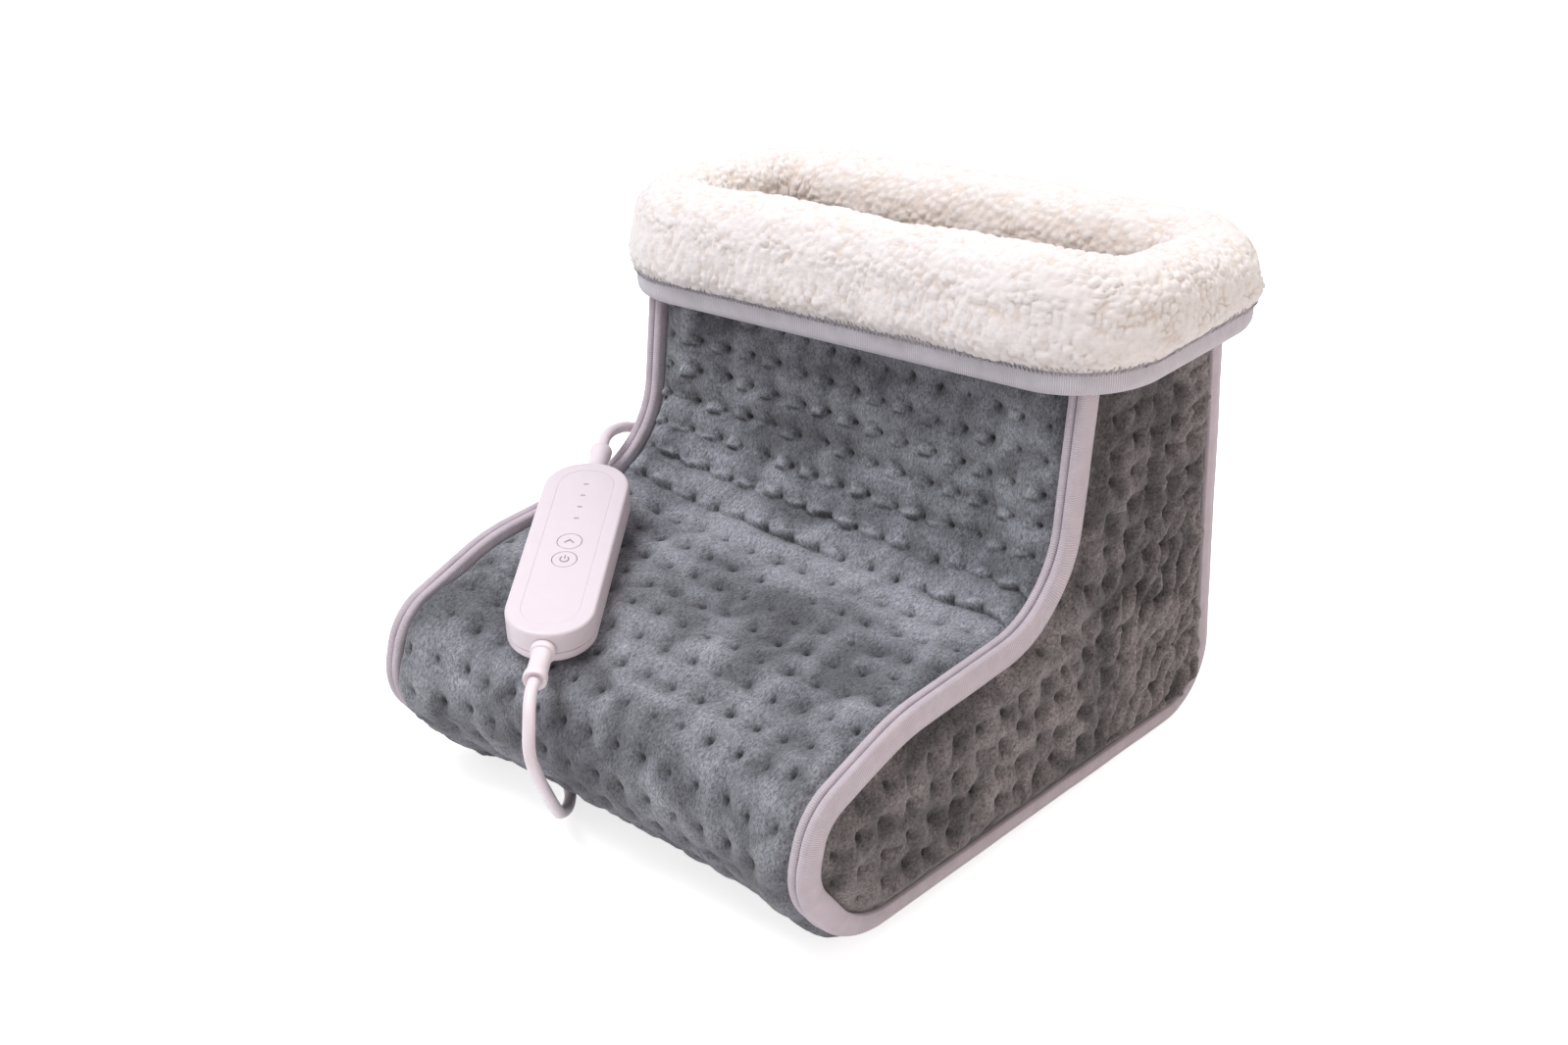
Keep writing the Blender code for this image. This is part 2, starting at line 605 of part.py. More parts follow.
def side_panel(name, side, material):
    """A quilted side, crowned in its middle, cut to the boot's outline inside the tape."""
    border = boot_path(TAPE_WIDTH + TOUCH_GAP)
    base = HALF_SEAM - GROOVE_GAP / 2 - TAPE_THICKNESS
    face = base + SIDE_THICKNESS
    low_y = min(point.x for point in border) - QUILT_PITCH
    high_y = max(point.x for point in border) + QUILT_PITCH
    low_z = min(point.y for point in border) - QUILT_PITCH
    high_z = max(point.y for point in border) + QUILT_PITCH
    columns = round((high_y - low_y) / QUILT_PITCH)
    rows = round((high_z - low_z) / QUILT_PITCH)
    bm = bmesh.new()

    def relief(along, height, lift):
        place = Vector((along, height))
        depth = min(1, distance_inside(border, place) / SIDE_EDGE_FADE)
        inside = point_inside(border, place)
        return face + ((SIDE_CROWN + lift) * depth if inside else 0)

    grid = [[bm.verts.new((0, along, height)) for height in
             [low_z + (high_z - low_z) * row / rows for row in range(rows + 1)]]
            for along in [low_y + (high_y - low_y) * column / columns for column in range(columns + 1)]]
    cells = [bm.faces.new((grid[c][r], grid[c + 1][r], grid[c + 1][r + 1], grid[c][r + 1]))
             for c in range(columns) for r in range(rows)]
    for line in grid:
        for vert in line:
            vert.co.x = relief(vert.co.y, vert.co.z, -TUFT_DEPTH)
    for vert in bmesh.ops.poke(bm, faces=cells)["verts"]:
        vert.co.x = relief(vert.co.y, vert.co.z, PUFF_HEIGHT)
    rim = [edge for edge in bm.edges if edge.is_boundary]
    skirt = bmesh.ops.extrude_edge_only(bm, edges=rim)["geom"]
    floor = [item for item in skirt if isinstance(item, bmesh.types.BMVert)]
    for vert in floor:
        vert.co.x = base
    bmesh.ops.contextual_create(bm, geom=[item for item in skirt if isinstance(item, bmesh.types.BMEdge)])
    for vert in bm.verts:
        vert.co.x *= side
        vert.co.y += MIDDLE
    piece = from_bmesh(name, bm, material)
    reach = face + SIDE_CROWN + PUFF_HEIGHT + CUT_OVERRUN
    low, high = (base - CUT_OVERRUN, reach) if side > 0 else (-reach, CUT_OVERRUN - base)
    outline = [(point.x, point.y) for point in border]
    shape = plate(name + "_outline_cutter", outline, low, high, None, SIDE_VIEW)
    return boolean(piece, shape, "INTERSECT")


def point_inside(outline, place):
    """Whether a point lies inside a closed outline."""
    inside = False
    for index, a in enumerate(outline):
        b = outline[(index + 1) % len(outline)]
        if (a.y > place.y) != (b.y > place.y):
            if place.x < a.x + (b.x - a.x) * (place.y - a.y) / (b.y - a.y):
                inside = not inside
    return inside


def binding(name, inner, outer, side, material):
    """Tape folded over an edge, following the rim from the shaft's front top to its back top."""
    low, high = min(inner, outer), max(inner, outer)
    section = [(TAPE_WIDTH, low), (TAPE_ROUNDING, low), (0, low + TAPE_ROUNDING),
               (0, high - TAPE_ROUNDING), (TAPE_ROUNDING, high), (TAPE_WIDTH, high)]
    paths = [boot_path(inset) for inset, across in section]
    bm = bmesh.new()
    rings = []
    for station in range(len(paths[0])):
        ring = []
        for path, (inset, across) in zip(paths, section):
            point = path[station]
            ring.append(bm.verts.new((side * across, point.x + MIDDLE, point.y)))
        rings.append(ring)
    loft(bm, rings, closed=False)
    return from_bmesh(name, bm, material)


def loft(bm, rings, closed):
    """Skin a row of rings of equal counts; an open row gets an end face at each end."""
    count = len(rings[0])
    pairs = list(zip(rings, rings[1:]))
    if closed:
        pairs.append((rings[-1], rings[0]))
    for first, second in pairs:
        for index in range(count):
            after = (index + 1) % count
            bm.faces.new((first[index], first[after], second[after], second[index]))
    if not closed:
        bm.faces.new(list(reversed(rings[0])))
        bm.faces.new(rings[-1])


def sole_panel():
    """The flat sole that the boot stands on, between the two seams."""
    length = SOLE_FRONT_REACH - SOLE_BACK_REACH
    centre = MIDDLE - (SOLE_FRONT_REACH + SOLE_BACK_REACH) / 2
    place = Matrix.Translation((0, centre, SOLE_THICKNESS / 2))
    return block("sole_panel", (2 * STRIP_HALF_WIDTH, length, SOLE_THICKNESS), SOLE_ROUNDING, SOLE_CLOTH,
                 place, segments=1)


def fleece_liner():
    """A fleece bag that follows the inside of the boot, open at the top."""
    wall = SEAM_RISE + PANEL_THICKNESS + LINER_MARGIN
    ground = LINER_FLOOR_HEIGHT
    outer = boot_path(wall, ground, SHAFT_HEIGHT - LINER_TOP_HEIGHT)
    inner = boot_path(wall + LINER_THICKNESS, ground + LINER_THICKNESS, -CUT_OVERRUN)
    half = STRIP_HALF_WIDTH
    liner = plate("fleece_liner", [(p.x, p.y) for p in outer], -half, half, FLEECE, SIDE_VIEW)
    room = half - LINER_THICKNESS
    hollow = plate("liner_hollow_cutter", [(p.x, p.y) for p in inner], -room, room, None, SIDE_VIEW)
    return boolean(liner, hollow, "DIFFERENCE")


def rounded_rectangle(length, width, radius, steps):
    """Outline of a rectangle with round corners, about its own centre."""
    points = []
    for corner, (right, up) in enumerate(((1, 1), (-1, 1), (-1, -1), (1, -1))):
        for step in range(steps + 1):
            angle = math.pi / 2 * (corner + step / steps)
            points.append((right * (length / 2 - radius) + radius * math.cos(angle),
                           up * (width / 2 - radius) + radius * math.sin(angle)))
    return points


def heater():
    """The felt pad on the sole, the heating wire laid on it, and the thermal cut-out beside the wire."""
    middle = MIDDLE - PAD_BACK_REACH - PAD_LENGTH / 2
    pad_low = SOLE_THICKNESS + TOUCH_GAP
    pad_top = pad_low + PAD_THICKNESS
    flat = Matrix.Translation((0, middle, 0))
    outline = rounded_rectangle(PAD_WIDTH, PAD_LENGTH, PAD_CORNER, 4)
    plate("heating_pad", outline, pad_low, pad_top, FELT, flat)
    height = pad_top + TOUCH_GAP + WIRE_RADIUS
    half_run = PAD_WIDTH / 2 - WIRE_MARGIN
    pitch = (PAD_LENGTH - 2 * WIRE_MARGIN) / (WIRE_RUNS - 1)
    bend = pitch / 2
    first = middle - PAD_LENGTH / 2 + WIRE_MARGIN
    points = []
    for run in range(WIRE_RUNS):
        side = -1 if run % 2 else 1
        along = first + pitch * run
        points.append((-side * (half_run - bend), along, height))
        points.append((side * (half_run - bend), along, height))
        if run < WIRE_RUNS - 1:
            for step in range(1, WIRE_TURN_STEPS):
                angle = math.pi * step / WIRE_TURN_STEPS
                points.append((side * (half_run - bend + bend * math.sin(angle)),
                               along + bend * (1 - math.cos(angle)), height))
    tube("heating_wire", points, WIRE_RADIUS, HEATER, resolution=1)
    spot = (0, first + CUTOUT_PLACE + WIRE_RADIUS + CUTOUT_WIDTH / 2, pad_top + TOUCH_GAP + CUTOUT_HEIGHT / 2)
    block("thermal_cutout", (CUTOUT_LENGTH, CUTOUT_WIDTH, CUTOUT_HEIGHT), CUTOUT_EDGE, BLACK_PART,
          Matrix.Translation(spot), segments=1)


# The cuff: rings round the shaft, lofted
def cuff_ring(half_width, front, back, corner, height, tilt):
    """Points of a rounded rectangle round the shaft; every ring has the same count."""
    length, middle = front - back, MIDDLE - (front + back) / 2
    points = []
    for number, (right, up) in enumerate(((1, 1), (-1, 1), (-1, -1), (1, -1))):
        centre = Vector((right * (half_width - corner), up * (length / 2 - corner)))
        for step in range(CUFF_CORNER_STEPS + 1):
            angle = math.pi / 2 * (number + step / CUFF_CORNER_STEPS)
            points.append(centre + corner * Vector((math.cos(angle), math.sin(angle))))
        turn = math.pi / 2 * (number + 1)
        after = ((-1, 1), (-1, -1), (1, -1), (1, 1))[number]
        target = Vector((after[0] * (half_width - corner), after[1] * (length / 2 - corner)))
        target += corner * Vector((math.cos(turn), math.sin(turn)))
        begin = points[-1]
        for step in range(1, CUFF_SIDE_STEPS):
            points.append(begin.lerp(target, step / CUFF_SIDE_STEPS))
    return [(point.x, point.y + middle, height + tilt * point.x) for point in points]


def shaft_cover(height, tilt):
    """A ring close outside the shaft's seams, at a height."""
    lean = (INSTEP_REACH - SHAFT_FRONT_REACH) / (SHAFT_HEIGHT - INSTEP_HEIGHT)
    lowest = HEM_HEIGHT - HEM_TILT * CUFF_HALF_WIDTH
    front = SHAFT_FRONT_REACH + lean * (SHAFT_HEIGHT - lowest) + SHAFT_COVER_CLEARANCE
    back = BACK_LEAN * lowest / SHAFT_HEIGHT - SHAFT_COVER_CLEARANCE
    bulge = HALF_SEAM + TAPE_THICKNESS + SIDE_CROWN + SHAFT_COVER_CLEARANCE
    return cuff_ring(bulge, front, back, SHAFT_COVER_CORNER, height, tilt)


def outer_ring(setback, corner, height, tilt):
    """A ring set back from the cuff's widest outline."""
    return cuff_ring(CUFF_HALF_WIDTH - setback, CUFF_FRONT_REACH - setback, setback - CUFF_BACK_OVERHANG,
                     corner, height, tilt)


def lining_ring(thickness, corner, height):
    """A level ring inside the shaft's panels, a thickness of fleece further in."""
    inside = SEAM_RISE + PANEL_THICKNESS + LINER_MARGIN
    return cuff_ring(STRIP_HALF_WIDTH - thickness, SHAFT_FRONT_REACH - inside - thickness,
                     BACK_LEAN + inside + thickness, corner, height, 0)


def roll_ring(angle):
    """A ring of the rolled fold: it faces outward at angle 0, up at a quarter turn and inward at a half."""
    share = (1 - math.cos(angle)) / 2
    crest = CUFF_CREST_HEIGHT - ROLL_RADIUS * (1 - math.sin(angle))
    centre = MIDDLE - (CUFF_FRONT_REACH - CUFF_BACK_OVERHANG) / 2
    outline, lining = outer_ring(0, CUFF_CORNER, 0, 0), lining_ring(LINER_THICKNESS, LINER_CORNER, 0)
    ring = []
    for outside, inside in zip(outline, lining):
        place = Vector(outside).lerp(Vector(inside), share)
        height = crest + CUFF_CREST_TILT * place.x - CUFF_CREST_PITCH * (place.y - centre)
        ring.append((place.x, place.y, height))
    return ring


def cuff():
    """The fleece cuff over the shaft's top, and the bound hem along its lower edge."""
    round_off = HEM_TAPE_ROUNDING
    low, high = HEM_HEIGHT, HEM_HEIGHT + HEM_TAPE_HEIGHT
    seam = high + TOUCH_GAP
    foot = LINER_TOP_HEIGHT + TOUCH_GAP
    over = SHAFT_HEIGHT + SHAFT_COVER_CLEARANCE
    fleece = [
        outer_ring(HEM_SETBACK, HEM_CORNER, seam, HEM_TILT),
        outer_ring(0, CUFF_CORNER, seam + HEM_PUFF, HEM_TILT),
        *[roll_ring(math.pi * step / ROLL_STEPS) for step in range(ROLL_STEPS + 1)],
        lining_ring(LINER_THICKNESS, LINER_CORNER, foot),
        lining_ring(0, SHAFT_COVER_CORNER, foot),
        lining_ring(0, SHAFT_COVER_CORNER, over),
        shaft_cover(over, 0),
        shaft_cover(seam, HEM_TILT)]
    tape = [
        outer_ring(HEM_SETBACK, HEM_CORNER, high, HEM_TILT),
        shaft_cover(high, HEM_TILT),
        shaft_cover(low, HEM_TILT),
        outer_ring(HEM_SETBACK + round_off, HEM_CORNER - round_off, low, HEM_TILT),
        outer_ring(HEM_SETBACK, HEM_CORNER, low + round_off, HEM_TILT)]
    for name, rings, material in (("fleece_cuff", fleece, FLEECE), ("cuff_hem_binding", tape, TAPE)):
        bm = bmesh.new()
        loft(bm, [[bm.verts.new(point) for point in ring] for ring in rings], closed=True)
        from_bmesh(name, bm, material)


# The hand control, on the toe's left
def control_matrix(seat_height):
    """Where the control's parting line lies: local X along it to its front end, local Z its face."""
    turn = Matrix.Rotation(CONTROL_HEADING, 4, "Z") @ Matrix.Rotation(CONTROL_DIP, 4, "Y")
    return Matrix.Translation((CONTROL_RIGHT, MIDDLE - CONTROL_REACH, seat_height)) @ turn


def seated_control(panel):
    """Lower the control until its underside rests on the highest puffs of the panel."""
    back = control_matrix(TOE_TOP_HEIGHT).inverted()
    bpy.context.view_layer.update()
    shape = panel.evaluated_get(bpy.context.evaluated_depsgraph_get()).data
    rest = None
    for place in [*[vert.co for vert in shape.vertices], *[face.center for face in shape.polygons]]:
        near = back @ (panel.matrix_world @ place)
        if abs(near.x) < CONTROL_LENGTH / 2 and abs(near.y) < CONTROL_WIDTH / 2 and near.z > -TOE_TOP_HEIGHT / 2:
            rest = near.z if rest is None else max(rest, near.z)
    rise = (rest + TOUCH_GAP + BOTTOM_SHELL_HEIGHT) / math.cos(CONTROL_DIP)
    return control_matrix(TOE_TOP_HEIGHT + rise)


def local(place, across=0, height=0):
    """A place on the control in its own axes."""
    return Matrix.Translation((place, across, height))


def end_turn(side):
    """Turn local Z of a turned piece to point out of one end of the control."""
    return Matrix.Rotation(side * math.pi / 2, 4, "Y")


def control_rectangle(margin):
    """The control's outline, drawn in by a margin."""
    return rounded_rectangle(CONTROL_LENGTH - 2 * margin, CONTROL_WIDTH - 2 * margin,
                             CONTROL_CORNER - margin, CORNER_STEPS)


def bevel_rim(piece, width, upper):
    """Round only the upper or only the lower rim of an upright plate."""
    heights = [vert.co.z for vert in piece.data.vertices]
    goal = max(heights) if upper else min(heights)
    weights = piece.data.attributes.new("bevel_weight_edge", "FLOAT", "EDGE")
    for edge in piece.data.edges:
        ends = [piece.data.vertices[index].co.z for index in edge.vertices]
        flat = all(abs(height - goal) < MERGE_DISTANCE for height in ends)
        weights.data[edge.index].value = 1 if flat else 0
    bevel(piece, width)
    piece.modifiers["bevel"].limit_method = "WEIGHT"


def drill(pieces, tag, radius, low, high, matrix, steps):
    """Cut one round hole through each of several pieces."""
    for piece in pieces:
        hole = pin(f"{tag}_{piece.name}_hole", radius, low, high, None, matrix, steps)
        boolean(piece, hole, "DIFFERENCE")


def top_shell():
    """The case's upper half: hollow, with a screw boss near each corner and a recess for the inlay."""
    top = plate("control_top_shell", control_rectangle(0), TOUCH_GAP / 2, TOP_SHELL_HEIGHT, WHITE_CASE)
    bevel_rim(top, TOP_EDGE_ROUNDING, upper=True)
    room = plate("top_room_cutter", control_rectangle(SHELL_WALL), -CUT_OVERRUN, CEILING, None)
    boolean(top, room, "DIFFERENCE")
    for index, spot in enumerate(SCREW_SPOTS):
        boss = pin(f"boss_{index}", BOSS_RADIUS, TOUCH_GAP, CEILING + SHELL_WALL / 2, None, spot, BOSS_STEPS)
        boolean(top, boss, "UNION")
        hole = pin(f"boss_hole_{index}", SCREW_HOLE_RADIUS, -CUT_OVERRUN, CEILING - SHELL_WALL / 2, None,
                   spot, HOLE_STEPS)
        boolean(top, hole, "DIFFERENCE")
    recess = plate("recess_cutter", control_rectangle(INLAY_MARGIN - TOUCH_GAP),
                   TOP_SHELL_HEIGHT - INLAY_THICKNESS - TOUCH_GAP, TOP_SHELL_HEIGHT + CUT_OVERRUN, None)
    return boolean(top, recess, "DIFFERENCE")


def bottom_shell():
    """The case's lower half: hollow, with a drilled screw column near each corner and posts for the board."""
    bottom = plate("control_bottom_shell", control_rectangle(0), -BOTTOM_SHELL_HEIGHT, -TOUCH_GAP / 2,
                   WHITE_CASE)
    bevel_rim(bottom, BOTTOM_EDGE_ROUNDING, upper=False)
    room = plate("bottom_room_cutter", control_rectangle(SHELL_WALL), CASE_FLOOR, CUT_OVERRUN, None)
    boolean(bottom, room, "DIFFERENCE")
    head_hole = SCREW_HEAD_RADIUS + SCREW_HOLE_CLEARANCE
    profile = [(0, CUT_OVERRUN), (SCREW_HOLE_RADIUS, CUT_OVERRUN), (SCREW_HOLE_RADIUS, SCREW_SEAT),
               (head_hole, SCREW_SEAT), (head_hole, -BOTTOM_SHELL_HEIGHT - CUT_OVERRUN),
               (0, -BOTTOM_SHELL_HEIGHT - CUT_OVERRUN)]
    root = CASE_FLOOR - SHELL_WALL / 2
    for index, spot in enumerate(SCREW_SPOTS):
        column = pin(f"column_{index}", BOSS_RADIUS, root, -TOUCH_GAP, None, spot, BOSS_STEPS)
        boolean(bottom, column, "UNION")
        boolean(bottom, turned(f"screw_hole_{index}", profile, None, spot, HOLE_STEPS), "DIFFERENCE")
    for index, (right, up) in enumerate(CASE_CORNERS):
        spot = local(right * POST_PLACE, up * POST_OFFSET)
        post = pin(f"post_{index}", POST_RADIUS, root, BOARD_HEIGHT - TOUCH_GAP, None, spot, SMALL_STEPS)
        boolean(bottom, post, "UNION")
    return bottom


def push_button(name, place):
    """A domed button with a flange under the case's face and a stem down to its switch."""
    face = TOP_SHELL_HEIGHT + BUTTON_CROWN
    flange_top = CEILING - TOUCH_GAP - face
    flange_low = flange_top - BUTTON_FLANGE_THICKNESS
    stem_low = BOARD_SEAT + SWITCH_HEIGHT + BUTTON_TRAVEL + TOUCH_GAP - face
    flange = BUTTON_RADIUS + BUTTON_FLANGE
    profile = [(0, 0), (BUTTON_RADIUS - BUTTON_CROWN, 0), (BUTTON_RADIUS, -BUTTON_CROWN),
               (BUTTON_RADIUS, flange_top), (flange, flange_top), (flange, flange_low),
               (BUTTON_STEM_RADIUS, flange_low), (BUTTON_STEM_RADIUS, stem_low), (0, stem_low)]
    return turned(name, profile, WHITE_CASE, local(place, 0, face))


def tact_switch(name, place):
    """A tactile switch: a square body and its round plunger in one."""
    body = SWITCH_HEIGHT - BUTTON_TRAVEL
    middle = BOARD_SEAT + body / 2
    size = (SWITCH_SIZE, SWITCH_SIZE, body)
    made = block(name, size, PART_EDGE, BLACK_PART, local(place, 0, middle), segments=1)
    plunger = pin(name + "_plunger", SWITCH_PLUNGER_RADIUS, middle, BOARD_SEAT + SWITCH_HEIGHT, None,
                  local(place), HOLE_STEPS)
    return boolean(made, plunger, "UNION")


def fuse():
    """A fuse with a metal cap at each end, lying on the board."""
    glass = FUSE_RADIUS - FUSE_CAP_STEP
    half, cap = FUSE_LENGTH / 2, FUSE_LENGTH / 2 - FUSE_CAP_LENGTH
    profile = [(0, half), (FUSE_RADIUS, half), (FUSE_RADIUS, cap), (glass, cap),
               (glass, -cap), (FUSE_RADIUS, -cap), (FUSE_RADIUS, -half), (0, -half)]
    lying = local(FUSE_PLACE, FUSE_OFFSET, BOARD_SEAT + FUSE_RADIUS) @ end_turn(1)
    return turned("fuse", profile, FUSE_GLASS, lying, HOLE_STEPS)


def board_block(name, size, place, across, material):
    """A component with flat sides that stands on the board."""
    return block(name, size, PART_EDGE, material, local(place, across, BOARD_SEAT + size[2] / 2), segments=1)


def board_pieces():
    """The circuit board and what stands on it."""
    outline = rounded_rectangle(BOARD_LENGTH, BOARD_WIDTH, BOARD_CORNER, 2)
    made = [plate("circuit_board", outline, BOARD_HEIGHT, BOARD_SEAT - TOUCH_GAP, BOARD_GREEN),
            tact_switch("tact_switch_1", LEVEL_BUTTON_PLACE),
            tact_switch("tact_switch_2", POWER_BUTTON_PLACE),
            fuse(),
            board_block("triac", TRIAC_SIZE, TRIAC_PLACE, -TRIAC_OFFSET, BLACK_PART),
            board_block("filter_capacitor", CAPACITOR_SIZE, CAPACITOR_PLACE, -TRIAC_OFFSET, LED_BODY)]
    for index in range(WINDOW_COUNT):
        place = WINDOW_FIRST_PLACE + WINDOW_PITCH * index
        made.append(board_block(f"indicator_led_{index + 1}", LED_SIZE, place, 0, LED_BODY))
        low = BOARD_SEAT + LED_SIZE[2] + TOUCH_GAP
        made.append(pin(f"indicator_window_{index + 1}", WINDOW_RADIUS, low, TOP_SHELL_HEIGHT, CLEAR_WINDOW,
                        local(place), SMALL_STEPS))
    return made


def case_screw(name, matrix):
    """A case screw: pan head below, shank up into the boss."""
    neck = SCREW_SEAT - TOUCH_GAP
    low, tip = neck - SCREW_HEAD_HEIGHT, neck + SCREW_LENGTH
    profile = [(0, tip), (SCREW_RADIUS, tip), (SCREW_RADIUS, neck), (SCREW_HEAD_RADIUS, neck),
               (SCREW_HEAD_RADIUS, low), (0, low)]
    return turned(name, profile, STEEL, matrix, SMALL_STEPS)


def strain_relief(name, side):
    """The control's strain relief: a flared sleeve outside, a neck through the wall, an anchor inside."""
    root = CONTROL_LENGTH / 2
    mouth = root + RELIEF_LENGTH
    collar_low = root + TOUCH_GAP
    collar_top = collar_low + RELIEF_COLLAR_LENGTH
    anchor_top = root - SHELL_WALL - RELIEF_ANCHOR_CLEARANCE
    anchor_low = anchor_top - RELIEF_ANCHOR_LENGTH
    profile = [(0, mouth), (RELIEF_MOUTH_RADIUS - RELIEF_LIP, mouth),
               (RELIEF_MOUTH_RADIUS, mouth - RELIEF_LIP),
               (RELIEF_MOUTH_RADIUS, mouth - RELIEF_MOUTH_LENGTH), (RELIEF_WAIST_RADIUS, collar_top),
               (RELIEF_COLLAR_RADIUS, collar_top), (RELIEF_COLLAR_RADIUS, collar_low),
               (RELIEF_NECK_RADIUS, collar_low), (RELIEF_NECK_RADIUS, anchor_top),
               (RELIEF_ANCHOR_RADIUS, anchor_top), (RELIEF_ANCHOR_RADIUS, anchor_low), (0, anchor_low)]
    return turned(name, profile, WHITE_CASE, local(0, 0, RELIEF_HEIGHT) @ end_turn(side))


def control(panel):
    """The hand control; returns its frame, its long direction and where its two cords begin."""
    frame = seated_control(panel)
    holder = bpy.data.objects.new("control_frame", None)
    PARTS.objects.link(holder)
    holder.matrix_world = frame
    top, bottom = top_shell(), bottom_shell()
    inlay = plate("face_inlay", control_rectangle(INLAY_MARGIN), TOP_SHELL_HEIGHT - INLAY_THICKNESS,
                  TOP_SHELL_HEIGHT, WHITE_CASE)
    made = [top, bottom, inlay, *board_pieces()]
    through = (CEILING - CUT_OVERRUN, TOP_SHELL_HEIGHT + CUT_OVERRUN)
    for name, place in (("power_button", POWER_BUTTON_PLACE), ("level_button", LEVEL_BUTTON_PLACE)):
        made.append(push_button(name, place))
        drill((top, inlay), name, BUTTON_RADIUS + BUTTON_HOLE_CLEARANCE, *through, local(place), ROUND_STEPS)
    for index in range(WINDOW_COUNT):
        spot = local(WINDOW_FIRST_PLACE + WINDOW_PITCH * index)
        drill((top, inlay), f"window_{index + 1}", WINDOW_RADIUS + TOUCH_GAP, *through, spot, SMALL_STEPS)
    for index, spot in enumerate(SCREW_SPOTS):
        made.append(case_screw(f"case_screw_{index + 1}", spot))
    end = CONTROL_LENGTH / 2
    for name, side in (("strain_relief_lower", 1), ("strain_relief_upper", -1)):
        made.append(strain_relief(name, side))
        drill((top, bottom), name, RELIEF_NECK_RADIUS + TOUCH_GAP, end - 2 * SHELL_WALL, end + CUT_OVERRUN,
              local(0, 0, RELIEF_HEIGHT) @ end_turn(side), ROUND_STEPS)
    for piece in made + [step.object for part in made for step in part.modifiers if step.type == "BOOLEAN"]:
        own = piece.matrix_world.copy()
        piece.parent = holder
        piece.matrix_parent_inverse = Matrix()
        piece.matrix_local = own
    mouth = end + RELIEF_LENGTH + TOUCH_GAP
    ends = [frame @ Vector((side * mouth, 0, RELIEF_HEIGHT)) for side in (-1, 1)]
    along = (frame.to_3x3() @ Vector((1, 0, 0))).normalized()
    return frame, along, ends


# Lead entry on the ankle
def lead_entry():
    """The moulded entry on the left side panel and its strain relief; returns the relief's tip."""
    panel_face = HALF_SEAM - GROOVE_GAP / 2 - TAPE_THICKNESS + SIDE_THICKNESS + SIDE_CROWN + PUFF_HEIGHT
    middle = -(panel_face + TOUCH_GAP + ENTRY_DEPTH / 2)
    turn = Matrix.Rotation(-ENTRY_ANGLE, 4, "X")
    frame = Matrix.Translation((middle, MIDDLE - ENTRY_REACH, ENTRY_HEIGHT)) @ turn
    block("lead_entry", (ENTRY_DEPTH, ENTRY_LENGTH, ENTRY_WIDTH), ENTRY_ROUNDING, WHITE_CASE, frame)
    root = ENTRY_LENGTH / 2 + TOUCH_GAP
    tip = root + ENTRY_RELIEF_LENGTH
    profile = [(0, tip), (ENTRY_RELIEF_TIP, tip), (ENTRY_RELIEF_ROOT, root), (0, root)]
    forward = frame @ Matrix.Rotation(math.pi / 2, 4, "X")
    turned("lead_entry_relief", profile, WHITE_CASE, forward)
    out = (forward.to_3x3() @ Vector((0, 0, 1))).normalized()
    return forward @ Vector((0, 0, tip + TOUCH_GAP)), out


# Cords
def from_heel(right, behind, height):
    """A place given to the right of the middle and behind the heel rim."""
    return Vector((right, MIDDLE + behind, height))


def coil_points():
    """Turns that spiral in on the lower layer, climb, and spiral out on the upper one."""
    half = COIL_TURNS / 2
    inner = COIL_MEAN_RADIUS - COIL_PITCH * half / 2
    centre = from_heel(COIL_CENTRE_RIGHT, COIL_CENTRE_BEHIND, 0)
    low = CORD_RADIUS + TIE_WALL + 2 * TIE_CLEARANCE
    steps = round(COIL_TURNS * COIL_POINTS_PER_TURN)
    points = []
    for step in range(steps + 1):
        turn = COIL_TURNS * step / steps
        radius = inner + COIL_PITCH * abs(turn - half)
        climb = max(0, min(1, (turn - half) * 2 + 1 / 2))
        climb = climb * climb * (3 - 2 * climb)
        angle = math.pi - math.tau * turn
        points.append(centre + Vector((radius * math.cos(angle), radius * math.sin(angle),
                                       low + COIL_PITCH * climb)))
    before = math.copysign(2 * CORD_RADIUS, points[0].y - points[1].y)
    after = math.copysign(2 * CORD_RADIUS, points[-1].x - points[-2].x)
    return [points[0] + Vector((0, before, 0)), *points, points[-1] + Vector((after, 0, 0))]


def least_gap(points):
    """Least clear distance between turns of a wound cord, measured on its own points."""
    samples = []
    walked = 0
    for a, b in zip(points, points[1:]):
        for part in range(GAP_SAMPLES):
            samples.append((walked + (b - a).length * part / GAP_SAMPLES, a.lerp(b, part / GAP_SAMPLES)))
        walked += (b - a).length
    least = None
    for index, (first_walk, first) in enumerate(samples):
        for second_walk, second in samples[index + 1:]:
            if second_walk - first_walk > math.pi * COIL_MEAN_RADIUS:
                gap = (first - second).length - 2 * CORD_RADIUS
                least = gap if least is None else min(least, gap)
    return least


